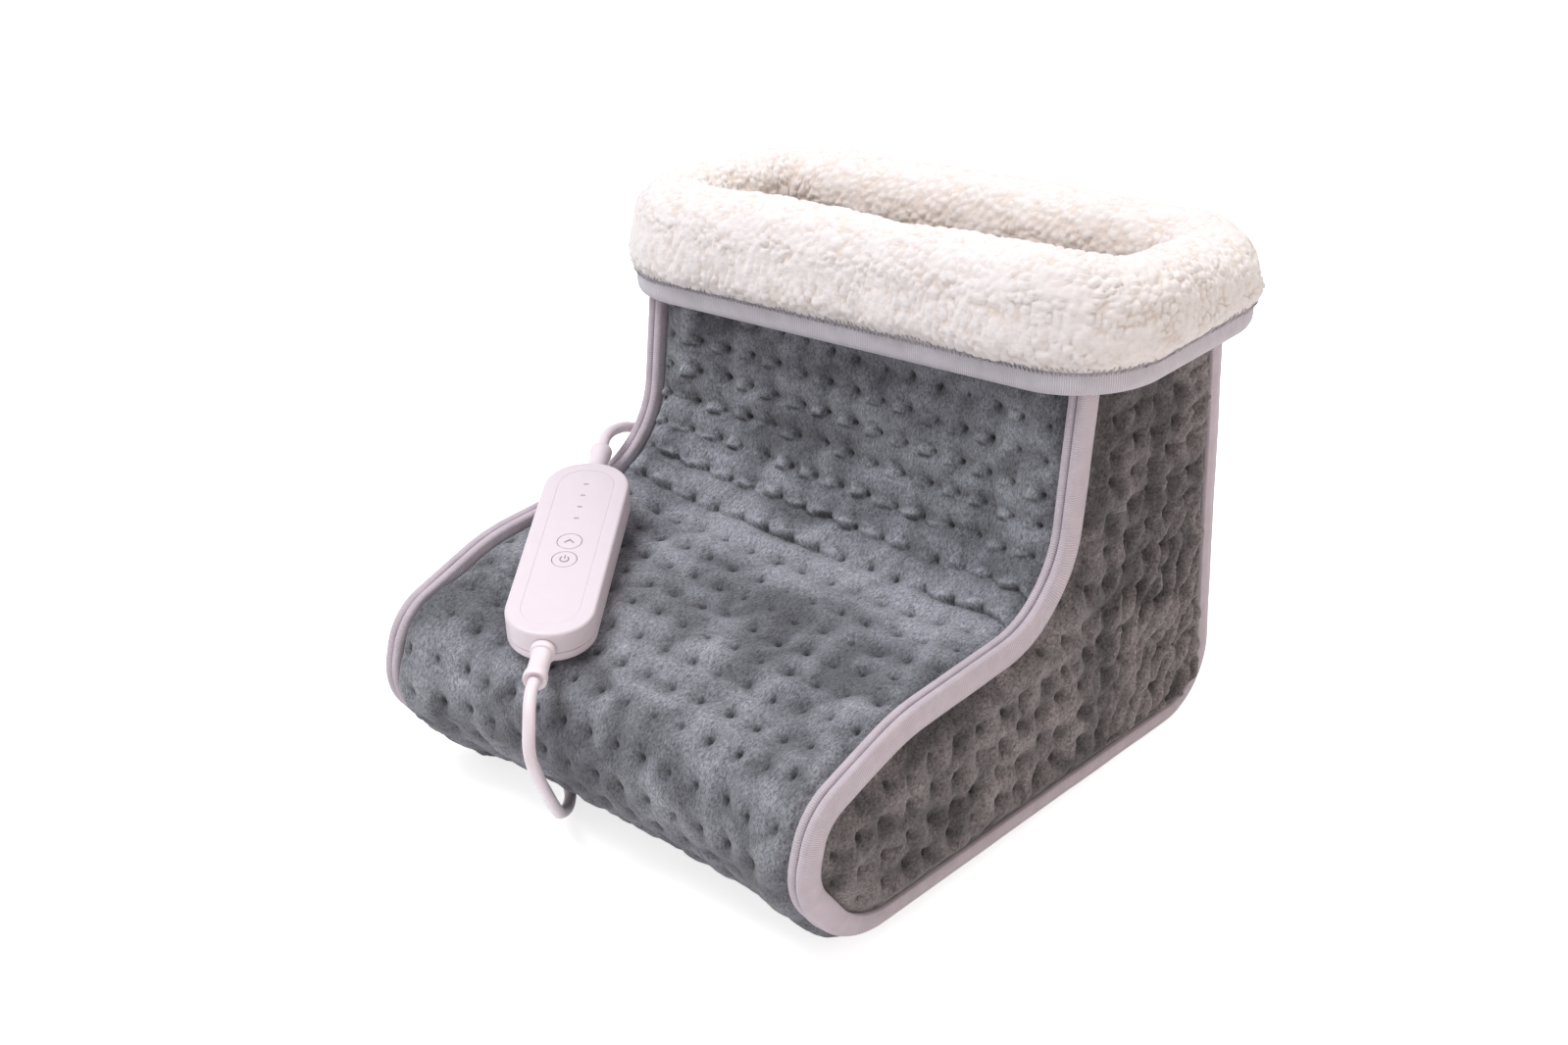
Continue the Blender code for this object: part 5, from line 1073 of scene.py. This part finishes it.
def curls(points, seed):
    """Height of the pile, 0 in a crease to 1 on a curl, at each point."""
    heights = np.empty(len(points))
    shift = Vector((seed, 0, 0))
    for index, point in enumerate(points):
        spot = Vector(point)
        spot += noise.noise_vector(spot / (7 * MM) + shift) * 1.8 * MM
        (near, after, *_), _ = noise.voronoi(spot / CURL)
        crease = 1 - min(1, (after - near) * 3.4) ** 0.8
        deep = min(1, 0.85 + 1.2 * noise.noise(spot / (11 * MM) - shift))
        heights[index] = (1 - 0.5 * near * near) * (1 - crease * max(0.5, deep))
    return heights


def ring_faces(turns, around):
    """Quads between closed rings, the last one joined to the first."""
    return [(r * around + c, r * around + (c + 1) % around, (r + 1) % turns * around + (c + 1) % around,
             (r + 1) % turns * around + c) for r in range(turns) for c in range(around)]


def normals_of(grid):
    """Unit normals of a grid of rings, closed round each ring."""
    along = np.roll(grid, -1, axis=1) - np.roll(grid, 1, axis=1)
    up = np.gradient(grid, axis=0)
    normal = np.cross(along, up)
    return normal / np.maximum(np.linalg.norm(normal, axis=2, keepdims=True), 1e-9)


grid = np.array(through_rings([outer_ring(4.6 * MM, HEM_CORNER, HEM_SEAM, HEM_TILT),
                               outer_ring(-1 * MM, 54 * MM, HEM_SEAM + 8 * MM, HEM_TILT),
                               *[roll_ring(math.pi * step / 8) for step in range(9)],
                               lining_ring(LINING_THICKNESS, LINING_CORNER, 222 * MM),
                               lining_ring(LINING_THICKNESS, LINING_CORNER, LINING_LOW)], PILE_GRID))
rows, around = grid.shape[:2]
outward = normals_of(grid)
centre = grid.mean(axis=(0, 1))
if ((grid[5] - centre) * outward[5]).sum() < 0:
    outward = -outward
pile = curls(grid.reshape(-1, 3), 4.2).reshape(rows, around)
travel = np.concatenate([[0], np.cumsum(np.linalg.norm(np.diff(grid, axis=0), axis=2).mean(axis=1))])
fade = soft(travel, 0, 2 * MM) * soft(travel[-1] - travel, 0, 4 * MM)
lumps = np.array([noise.noise(Vector(point) / (38 * MM)) + 0.35 * noise.noise(Vector(point) / (13 * MM))
                  for point in grid.reshape(-1, 3)]).reshape(rows, around)
crest_row = int(np.argmax(grid[:, :, 2].mean(axis=1)))
# Painted shade inside the mouth: past the crest the pile height kept for the colour is lowered (the shape is
# set before that), so more warm crevice colour shows.
pressed = soft(travel, travel[crest_row], travel[crest_row] + 30 * MM)
grid = grid + outward * (((pile - 0.6) * PILE + 2.0 * MM * lumps) * fade[:, None])[:, :, None]
pile *= 1 - 0.6 * pressed[:, None]
hidden = [lining_ring(0, HIDDEN_CORNER, LINING_LOW), lining_ring(0, HIDDEN_CORNER, SHAFT_TOP),
          cuff_ring(*COVER, HIDDEN_CORNER, SHAFT_TOP, 0),
          cuff_ring(*COVER, HIDDEN_CORNER, HEM_SEAM, HEM_TILT)]
grid = np.concatenate([grid, np.array(hidden)])
turns = len(grid)
cuff = mesh_piece("sherpa_cuff", grid.reshape(-1, 3), ring_faces(turns, around), CREAM_FLEECE)
mark(cuff, "pile_height", np.concatenate([pile.ravel(), np.full(len(hidden) * around, 0.4)]))
belongs(cuff, "boot", "cream_fleece", "fleece_cuff")
print("cuff", len(cuff.data.polygons), "faces")

# %% [markdown]
# The cuff's lower edge is bound with a wider tape, 12 mm high.

# %% Hem tape
HEM_LOW, HEM_HIGH = 212.8 * MM, 224.8 * MM
hem_section = [(5.5, HEM_HIGH), (4.9, HEM_HIGH - 2 * MM), (4.7, HEM_HIGH - 6 * MM), (4.9, HEM_LOW + 3 * MM),
               (5.6, HEM_LOW + 1.2 * MM), (7.2, HEM_LOW)]
tape_rings = [outer_ring(back * MM, HEM_CORNER, height, HEM_TILT) for back, height in hem_section]
tape_rings += [cuff_ring(*COVER, HIDDEN_CORNER, height, HEM_TILT) for height in (HEM_LOW, HEM_HIGH)]
tape_rings = np.array(tape_rings)[:, ::2]
loop = np.vstack([tape_rings[2], tape_rings[2][:1]])
travel = np.concatenate([[0], np.cumsum(np.linalg.norm(np.diff(loop, axis=0), axis=1))])
sweep("hem_tape", list(tape_rings.transpose(1, 0, 2)), list(travel), walked_round(tape_rings[:, 0]), HEM_TAPE,
      "cuff_hem_binding", "lilac_grey_tape", closed=True)
print("hem tape", round(float(travel[-1]), 3), "m round")

# %% [markdown]
# A zigzag of grey thread sews the tape's upper edge to the fleece. The thread is 0.4 mm thick and is drawn
# at 0.6 mm, so that it shows.

# %% Zigzag thread
THREAD_RADIUS = 0.3 * MM
upper = (grid[2] + outward[2] * 0.4 * MM)[1::2]
lower = outer_ring(4.5 * MM, HEM_CORNER, HEM_HIGH - 1.3 * MM, HEM_TILT)[::2][:len(upper)]
line = np.stack([lower, upper], axis=1).reshape(-1, 3)
out = np.repeat(outward[2][1::2] * (1, 1, 0), 2, axis=0)
out /= np.linalg.norm(out, axis=1)[:, None]
ways = np.roll(line, -1, axis=0) - np.roll(line, 1, axis=0)
ways /= np.linalg.norm(ways, axis=1)[:, None]
rise = np.cross(ways, out)
ring = [line + THREAD_RADIUS * (math.cos(angle) * out + math.sin(angle) * rise)
        for angle in (0, math.tau / 3, 2 * math.tau / 3)]
thread = mesh_piece("hem_zigzag_thread", np.stack(ring, axis=1).reshape(-1, 3), ring_faces(len(line), 3),
                    THREAD)
belongs(thread, "boot", "lilac_grey_tape")
print("thread", len(upper), "zigzags")

# %% [markdown]
# ## Lining, sole and heating pad
# The bag of fleece inside is remeshed from the frame's own liner and given the same curls, lower and more
# trodden. The sole is a woven panel with rubbery grip dots, and a needled felt pad carries the wire.

# %% Fleece bag
LINER_CURL = 1.3 * MM
bag = nodes["fleece_liner"].copy()
bag.data = nodes["fleece_liner"].data.copy()
bpy.context.scene.collection.objects.link(bag)
bag.parent = None
bag.matrix_world = nodes["fleece_liner"].matrix_world
bag.hide_set(False)
bag.hide_render = False
modify(bag, "REMESH", mode="VOXEL", voxel_size=3 * MM)
points = np.array([tuple(vert.co) for vert in bag.data.vertices])
normal = np.array([tuple(vert.normal) for vert in bag.data.vertices])
pile = curls(points, 9.7)
points += normal * ((pile - 1.0) * LINER_CURL)[:, None]
bag.data.vertices.foreach_set("co", points.ravel())
settle(bag, "fleece_bag", CREAM_FLEECE, 180)
mark(bag, "pile_height", pile)
belongs(bag, "boot", "cream_fleece", "fleece_liner")
print("bag", len(bag.data.polygons), "faces")

# %% Sole and pad
SOLE = (250.5 * MM, 231.0 * MM, 9.0 * MM)
SOLE_MIDDLE = MIDDLE - 156.5 * MM
DOT_PITCH = 14 * MM
DOT_HEIGHT = 0.7 * MM


def pick_edges(piece, wanted):
    """In edit mode, select the edges that pass a test and nothing else."""
    bpy.ops.mesh.select_mode(type="EDGE")
    bpy.ops.mesh.select_all(action="DESELECT")
    cage = bmesh.from_edit_mesh(piece.data)
    for edge in cage.edges:
        if wanted(edge, *(vert.co for vert in edge.verts)):
            edge.select = True
    cage.select_flush_mode()
    bmesh.update_edit_mesh(piece.data)


def upright(edge, a, b):
    """Whether an edge stands along Z."""
    return abs(a.z - b.z) > 0.5 * MM and math.hypot(a.x - b.x, a.y - b.y) < 1e-6


def on_rim(height):
    """A test for the sharp edges at a height."""
    return lambda edge, a, b: (max(abs(a.z - height), abs(b.z - height)) < 1e-5
                               and edge.calc_face_angle(0) > 0.5)


def rounded_block(size, corner, top, bottom, middle=0.0, segments=14):
    """A cube scaled to size, its upright edges rounded, then its upper and lower rims."""
    bpy.ops.mesh.primitive_cube_add(size=1, location=(0, 0, 0))
    made = bpy.context.object
    made.scale = size
    bpy.ops.object.transform_apply(scale=True)
    bpy.ops.object.mode_set(mode="EDIT")
    if corner:
        pick_edges(made, upright)
        bpy.ops.mesh.bevel(offset=corner, segments=segments, affect="EDGES", clamp_overlap=False)
    for rounding, height in ((top, size[2] / 2), (bottom, -size[2] / 2)):
        if rounding:
            pick_edges(made, on_rim(height))
            bpy.ops.mesh.bevel(offset=rounding, segments=5, affect="EDGES", clamp_overlap=False)
    bpy.ops.mesh.select_all(action="SELECT")
    bpy.ops.transform.translate(value=(0, 0, middle))
    bpy.ops.object.mode_set(mode="OBJECT")
    return made


sole = rounded_block((SOLE[0], SOLE[1], SOLE[2] - DOT_HEIGHT), 6 * MM, 1.5 * MM, 1.5 * MM,
                     (SOLE[2] + DOT_HEIGHT) / 2, segments=4)
sole.location = (0, SOLE_MIDDLE, 0)
settle(sole, "woven_sole", SOLE_CLOTH)
belongs(sole, "boot", "sole_cloth", "sole_panel")
bpy.ops.mesh.primitive_cylinder_add(vertices=8, radius=2.2 * MM, depth=DOT_HEIGHT + 0.4 * MM,
                                    location=(0, 0, (DOT_HEIGHT + 0.4 * MM) / 2))
dots = bpy.context.object
bpy.ops.object.transform_apply(location=True)
across = int((SOLE[0] - 20 * MM) / DOT_PITCH)
deep = int((SOLE[1] - 20 * MM) / DOT_PITCH)
for count, step in ((across + 1, (DOT_PITCH, 0, 0)), (deep + 1, (0, DOT_PITCH, 0))):
    modify(dots, "ARRAY", count=count, use_relative_offset=False, use_constant_offset=True,
           constant_offset_displace=step)
dots.location = (-across * DOT_PITCH / 2, SOLE_MIDDLE - deep * DOT_PITCH / 2, 0)
settle(dots, "grip_dots", GRIP_DOT)
belongs(dots, "boot", "sole_cloth")
pad = rounded_block((216 * MM, 185 * MM, 3 * MM), 12 * MM, 1.0 * MM, 1.0 * MM, 10.8 * MM, segments=6)
pad.location = (0, MIDDLE - 148.5 * MM, 0)
settle(pad, "felt_pad", PAD_FELT)
belongs(pad, "boot", "pad_felt", "heating_pad")
print("sole, pad and", (across + 1) * (deep + 1), "grip dots")

# %% [markdown]
# ## Hand control
# A flat ABS case with two press buttons, four small lamps and a flexible sleeve at each end. It is
# modelled lying flat at the origin, along X, with the parting line at height 0, and then laid on the toe.

# %% Case
CASE = (139.0 * MM, 43.0 * MM)
CASE_CORNER = 20.5 * MM
CASE_TOP, CASE_BOTTOM = 11.4 * MM, -6.0 * MM
WALL = 1.8 * MM
HALF_GAP = 0.15 * MM
CORD_LEVEL = 2.7 * MM
BUTTON_SPOTS = {"level_button": -2.1 * MM, "power_button": 12.3 * MM}
BUTTON_RADIUS = 6.0 * MM
LAMP_SPOTS = [(-50 + 9.6 * index) * MM for index in range(4)]


def shell(low, high, top, bottom, margin=0.0):
    """A case-shaped block between two heights, drawn in by a margin."""
    return rounded_block((CASE[0] - 2 * margin, CASE[1] - 2 * margin, high - low), CASE_CORNER - margin,
                         top, bottom, (low + high) / 2)


def cut(piece, tool):
    """Cut a tool out of a piece and throw the tool away."""
    modify(piece, "BOOLEAN", object=tool, operation="DIFFERENCE", solver="EXACT")
    bpy.data.objects.remove(tool, do_unlink=True)


def drill(piece, radius, spot, depth, turn=(0, 0, 0), vertices=32):
    """Cut a round hole, along Z unless it is turned."""
    bpy.ops.mesh.primitive_cylinder_add(vertices=vertices, radius=radius, depth=depth, location=spot,
                                        rotation=turn)
    cut(piece, bpy.context.object)


def slot_cutter(x, length, width, low, high):
    """A small round-ended block across the case, at a place along it."""
    made = rounded_block((width, length, high - low), width * 0.49, 0, 0, (low + high) / 2, segments=4)
    made.location.x = x
    return made


def open_face(piece):
    """Cut the holes of the buttons and the slots of the lamps."""
    for x in BUTTON_SPOTS.values():
        drill(piece, BUTTON_RADIUS + 0.3 * MM, (x, 0, 10 * MM), 12 * MM, vertices=48)
    for x in LAMP_SPOTS:
        cut(piece, slot_cutter(x, 2.6 * MM, 1.2 * MM, 4 * MM, 16 * MM))


def on_control(piece, name, material, body, *stands_for, angle=35.0, slot="pinkish_white_abs"):
    """Lay a finished piece of the control on the toe and hide the frame's nodes that it stands for."""
    bpy.context.view_layer.update()
    piece.matrix_world = CONTROL_FRAME @ piece.matrix_world
    belongs(settle(piece, name, material, angle), body, slot, *stands_for)


top = shell(HALF_GAP, CASE_TOP, 1.7 * MM, 0)
cut(top, shell(-4 * MM, CASE_TOP - WALL, 0, 0, WALL))
cut(top, shell(CASE_TOP - 0.9 * MM, CASE_TOP + 4 * MM, 0, 0, 7.43 * MM))
open_face(top)
bottom = shell(CASE_BOTTOM, -HALF_GAP, 0, 3.2 * MM)
cut(bottom, shell(CASE_BOTTOM + WALL, 4 * MM, 0, 0, WALL))
for x in (-46 * MM, 46 * MM):
    for y in (-15.5 * MM, 15.5 * MM):
        drill(bottom, 2.4 * MM, (x, y, -7.2 * MM), 6 * MM)
for side in (-1, 1):
    for piece in (top, bottom):
        drill(piece, 4.3 * MM, (side * CASE[0] / 2, 0, CORD_LEVEL), 8 * MM, (0, math.pi / 2, 0))
inlay = shell(CASE_TOP - 0.85 * MM, CASE_TOP - 0.02 * MM, 0.08 * MM, 0, 7.5 * MM)
open_face(inlay)
on_control(top, "control_upper_case", WHITE_ABS, "boot", "control_top_shell")
on_control(bottom, "control_lower_case", WHITE_ABS, "boot", "control_bottom_shell")
on_control(inlay, "control_face_inlay", WHITE_ABS, "boot", "face_inlay")
print("case", [round(side / MM, 1) for side in (*CASE, CASE_TOP - CASE_BOTTOM)], "mm")

# %% Buttons, lamps and marks
MARK_HEIGHT = 0.08 * MM
LINE = 0.42 * MM
BUTTON_FACE = CASE_TOP + 0.2 * MM


def turned(profile, steps=48):
    """A closed shape turned about Z from radii and heights in millimetres; the profile eases its corners."""
    data = bpy.data.meshes.new("profile")
    data.from_pydata([(radius * MM, 0, height * MM) for radius, height in profile],
                     [(index, index + 1) for index in range(len(profile) - 1)], [])
    made = bpy.data.objects.new("profile", data)
    bpy.context.scene.collection.objects.link(made)
    modify(made, "SCREW", axis="Z", steps=steps, render_steps=steps, use_merge_vertices=True,
           merge_threshold=1e-5)
    bpy.ops.object.mode_set(mode="EDIT")
    bpy.ops.mesh.select_all(action="SELECT")
    bpy.ops.mesh.normals_make_consistent(inside=False)
    bpy.ops.object.mode_set(mode="OBJECT")
    return made


def join(*pieces):
    """Join pieces into the first."""
    pick(*pieces)
    bpy.ops.object.join()
    return bpy.context.object


def bar(length, width, x, y, turn):
    """A thin printed bar, flat on the button's face."""
    bpy.ops.mesh.primitive_cube_add(size=1, location=(x, y, BUTTON_FACE + MARK_HEIGHT / 2),
                                    rotation=(0, 0, turn))
    made = bpy.context.object
    made.scale = (length, width, MARK_HEIGHT)
    bpy.ops.object.transform_apply(location=False, rotation=False, scale=True)
    return made


def arc(radius, width, start, end, x, steps=28):
    """A thin printed arc on the button's face."""
    angles = [start + (end - start) * step / steps for step in range(steps + 1)]
    rings = [(r * math.cos(angle) + x, r * math.sin(angle))
             for angle in angles for r in (radius - width / 2, radius + width / 2)]
    points = [(a, b, BUTTON_FACE + lift) for lift in (0, MARK_HEIGHT) for a, b in rings]
    half = len(rings)
    faces = []
    for step in range(steps):
        a = 2 * step
        faces += [(a, a + 1, a + 3, a + 2), (half + a, half + a + 2, half + a + 3, half + a + 1),
                  (a, a + 2, half + a + 2, half + a), (a + 1, half + a + 1, half + a + 3, a + 3)]
    faces += [(0, half, half + 1, 1), (half - 2, half - 1, 2 * half - 1, 2 * half - 2)]
    return mesh_piece("arc", points, faces, MARK_INK)


for node, x in BUTTON_SPOTS.items():
    face, radius = BUTTON_FACE / MM, BUTTON_RADIUS / MM
    button = turned([(0, face - 0.15), (4.2, face - 0.1), (5.3, face), (radius - 0.25, face - 0.08),
                     (radius, face - 0.35), (radius, 9.3), (radius + 0.8, 9.3), (radius + 0.8, 8.3),
                     (1.5, 8.3), (1.5, 6.4), (0, 6.4)])
    button.location.x = x
    on_control(button, node + "_cap", WHITE_ABS, node, node)
    if node == "power_button":
        lines = [arc(2.1 * MM, LINE, math.radians(220), math.radians(500), x),
                 bar(2.4 * MM, LINE, x - 1.7 * MM, 0, 0)]
    else:
        lines = [bar(3.4 * MM, LINE, x, side * 1.15 * MM, side * math.radians(45)) for side in (-1, 1)]
    on_control(join(*lines), node + "_mark", MARK_INK, node)

for index, x in enumerate(LAMP_SPOTS):
    lamp = slot_cutter(x, 2.1 * MM, 0.75 * MM, 3.9 * MM, CASE_TOP - 0.1 * MM)
    on_control(lamp, f"indicator_lens_{index + 1}", SMOKED_LENS, "boot", f"indicator_window_{index + 1}",
               slot="smoked_window")
print(len(BUTTON_SPOTS), "buttons and", len(LAMP_SPOTS), "lamps")

# %% Strain reliefs
# Radius and distance from the case's end, in millimetres: the foot inside, the collar, the waist, the lip.
RELIEF_PROFILE = [(0, -4.6), (4.8, -4.6), (5.0, -4.4), (5.0, -3.0), (4.0, -3.0), (4.0, 0), (5.7, 0),
                  (6.0, 0.4), (6.0, 3.6), (5.75, 4.0), (5.15, 4.1), (5.0, 4.4), (4.9, 9), (4.95, 14.5),
                  (5.2, 17.6), (5.6, 18.4), (5.75, 19.2), (5.75, 22.0), (5.5, 22.6), (5.0, 22.7),
                  (4.3, 22.2), (3.3, 21.4), (0, 21.4)]
RELIEF_ROOT = 69.8
for word, side in (("lower", 1), ("upper", -1)):
    relief = turned([(radius, RELIEF_ROOT + out) for radius, out in RELIEF_PROFILE])
    relief.matrix_world = Matrix.Translation((0, 0, CORD_LEVEL)) @ Matrix.Rotation(side * math.pi / 2, 4, "Y")
    on_control(relief, f"flex_sleeve_{word}", WHITE_PVC, "boot", f"strain_relief_{word}", angle=50,
               slot="pinkish_white_pvc")
print("strain reliefs", max(out for _, out in RELIEF_PROFILE), "mm long")

# %% [markdown]
# ## Lead entry and plug
# The lead comes out of the boot's left ankle through a moulded block with a tapered sleeve. The mains cord
# ends in a flat two-pin plug behind the heel.

# %% Lead entry
entry_frame = (Matrix.Translation((-143.65 * MM, MIDDLE - 101 * MM, 81 * MM))
               @ Matrix.Rotation(-math.pi / 4, 4, "X"))
block = rounded_block((10 * MM, 26 * MM, 16 * MM), 3.0 * MM, 2.4 * MM, 2.4 * MM, segments=6)
block.matrix_world = entry_frame
belongs(settle(block, "entry_block", WHITE_ABS), "boot", "pinkish_white_abs", "lead_entry")


def flex_sleeve(length, root, tip, start):
    """A tapered sleeve with shallow rings round it that let it bend; all sizes in millimetres."""
    profile = [(0, start), (root - 0.3, start), (root, start + 0.3), (root, start + 2)]
    notches = 5
    for index in range(notches):
        for share, depth in ((0.0, 0.0), (0.12, 0.45), (0.38, 0.45), (0.5, 0.0)):
            part = (index + share) / notches
            profile.append((root + (tip - root) * part - depth, start + 3 + (length - 6) * part))
    profile += [(tip, start + length - 0.4), (tip - 0.35, start + length), (0, start + length)]
    return turned(profile, 40)


sleeve = flex_sleeve(26, 4.7, 3.7, 13.3)
sleeve.matrix_world = entry_frame @ Matrix.Rotation(math.pi / 2, 4, "X")
belongs(settle(sleeve, "entry_sleeve", WHITE_PVC, 50), "boot", "pinkish_white_pvc", "lead_entry_relief")
print("lead entry", [round(value, 3) for value in entry_frame.translation])

# %% Plug
lay = Matrix.Translation(plug_root) @ Matrix.Rotation(math.pi / 2, 4, "Y")
plug = rounded_block((13.7 * MM, 35.5 * MM, 30 * MM), 4.5 * MM, 2.2 * MM, 2.8 * MM, 41.3 * MM, segments=8)
for side in (-1, 1):
    for index in range(4):
        bpy.ops.mesh.primitive_cylinder_add(vertices=16, radius=0.8 * MM, depth=20 * MM,
                                            location=(side * 7.2 * MM, 0, (33 + 4 * index) * MM),
                                            rotation=(math.pi / 2, 0, 0))
        bpy.context.object.scale = (0.8, 1, 1)
        cut(plug, bpy.context.object)
plug.matrix_world = lay
belongs(settle(plug, "mains_plug", WHITE_PVC), "boot", "pinkish_white_pvc", "plug_body")
sleeve = flex_sleeve(26, 4.0, 5.5, 0)
sleeve.matrix_world = lay
belongs(settle(sleeve, "plug_sleeve", WHITE_PVC, 50), "boot", "pinkish_white_pvc", "plug_relief")
print("plug at", [round(value, 3) for value in lay.translation])

# %% [markdown]
# ## What stays from the frame
# The board, its components, the wire, the screws, the tie and the pins already have the right shape. Each
# gets the finish of its real material.

# %% Dress the frame's own nodes
finishes = {"heating_wire": SILICONE, "thermal_cutout": EPOXY, "circuit_board": LAMINATE,
            "tact_switch_1": EPOXY, "tact_switch_2": EPOXY, "fuse": FUSE_TUBE, "triac": EPOXY,
            "filter_capacitor": RESIN, "coil_tie": STRAP, "plug_pin_1": NICKEL, "plug_pin_2": NICKEL}
finishes |= {f"indicator_led_{index}": RESIN for index in range(1, 5)}
finishes |= {f"case_screw_{index}": ZINC_STEEL for index in range(1, 5)}
for name, material in finishes.items():
    for place in nodes[name].material_slots:
        place.material = material
print("dressed", len(finishes), "nodes")

# %% [markdown]
# ## Floor and light
# A white sweep lit as in a product studio: a broad soft key from above, a weak warm light from the right, a
# low fill in front of the toe and a light behind the cuff. Floor and surround look white to the eye and in
# gloss, and send less light onto the boot, so that it keeps its shading and a faint soft shadow.

# %% Stage
def seen_directly(tree):
    """1 for what the camera sees, in gloss and through glass too, and 0 for light that bounces."""
    path = add_node(tree, "ShaderNodeLightPath")
    seen = path.outputs["Is Camera Ray"]
    for kind in ("Is Glossy Ray", "Is Transmission Ray"):
        more = add_node(tree, "ShaderNodeMath", {0: seen, 1: path.outputs[kind]}, operation="MAXIMUM")
        seen = more.outputs[0]
    return seen


bpy.ops.mesh.primitive_plane_add(size=30, location=(0, 0, -0.3 * MM))
floor = bpy.context.object
floor.name = "floor"
floor_white, tree, shader = new_material("white_studio_floor", "#F4F4F4", 0.9)
glow = add_node(tree, "ShaderNodeEmission", {"Color": (1, 1, 1, 1), "Strength": 0.73})
both = add_node(tree, "ShaderNodeAddShader", {0: shader.outputs[0], 1: glow.outputs[0]})
shown = add_node(tree, "ShaderNodeMixShader", {0: seen_directly(tree), 1: shader.outputs[0],
                                               2: both.outputs[0]})
tree.links.new(shown.outputs[0], tree.nodes["Material Output"].inputs["Surface"])
floor.data.materials.append(floor_white)


def soft_light(name, place, aim, size, power, colour):
    """A square area light that looks at a point."""
    bpy.ops.object.light_add(type="AREA", location=place)
    made = bpy.context.object
    made.name = name
    made.data.size = size
    made.data.energy = power
    made.data.color = linear(colour)[:3]
    made.rotation_euler = (Vector(aim) - Vector(place)).to_track_quat("-Z", "Y").to_euler()


soft_light("key_light", (-0.5, -0.65, 1.95), (0, 0, 0.1), 0.9, 30, "#FAF9FF")
soft_light("side_light", (1.7, 0.3, 0.45), (0, 0, 0.12), 0.5, 4, "#FFDFCF")
soft_light("low_fill", (0.75, -1.5, 0.2), (-0.05, -0.15, 0.1), 0.8, 2.1, "#FFEFE6")
soft_light("back_light", (0.1, 1.3, 1.8), (0, 0, 0.15), 1.1, 15, "#FFFBF6")
world = bpy.data.worlds.new("studio")
bpy.context.scene.world = world
world.use_nodes = True
tree = world.node_tree
level = add_node(tree, "ShaderNodeMapRange", {"Value": seen_directly(tree), "To Min": 0.42, "To Max": 1.0})
tree.nodes["Background"].inputs["Color"].default_value = linear("#FFFFFF")
tree.links.new(level.outputs[0], tree.nodes["Background"].inputs["Strength"])
bpy.context.scene.view_settings.view_transform = "Standard"
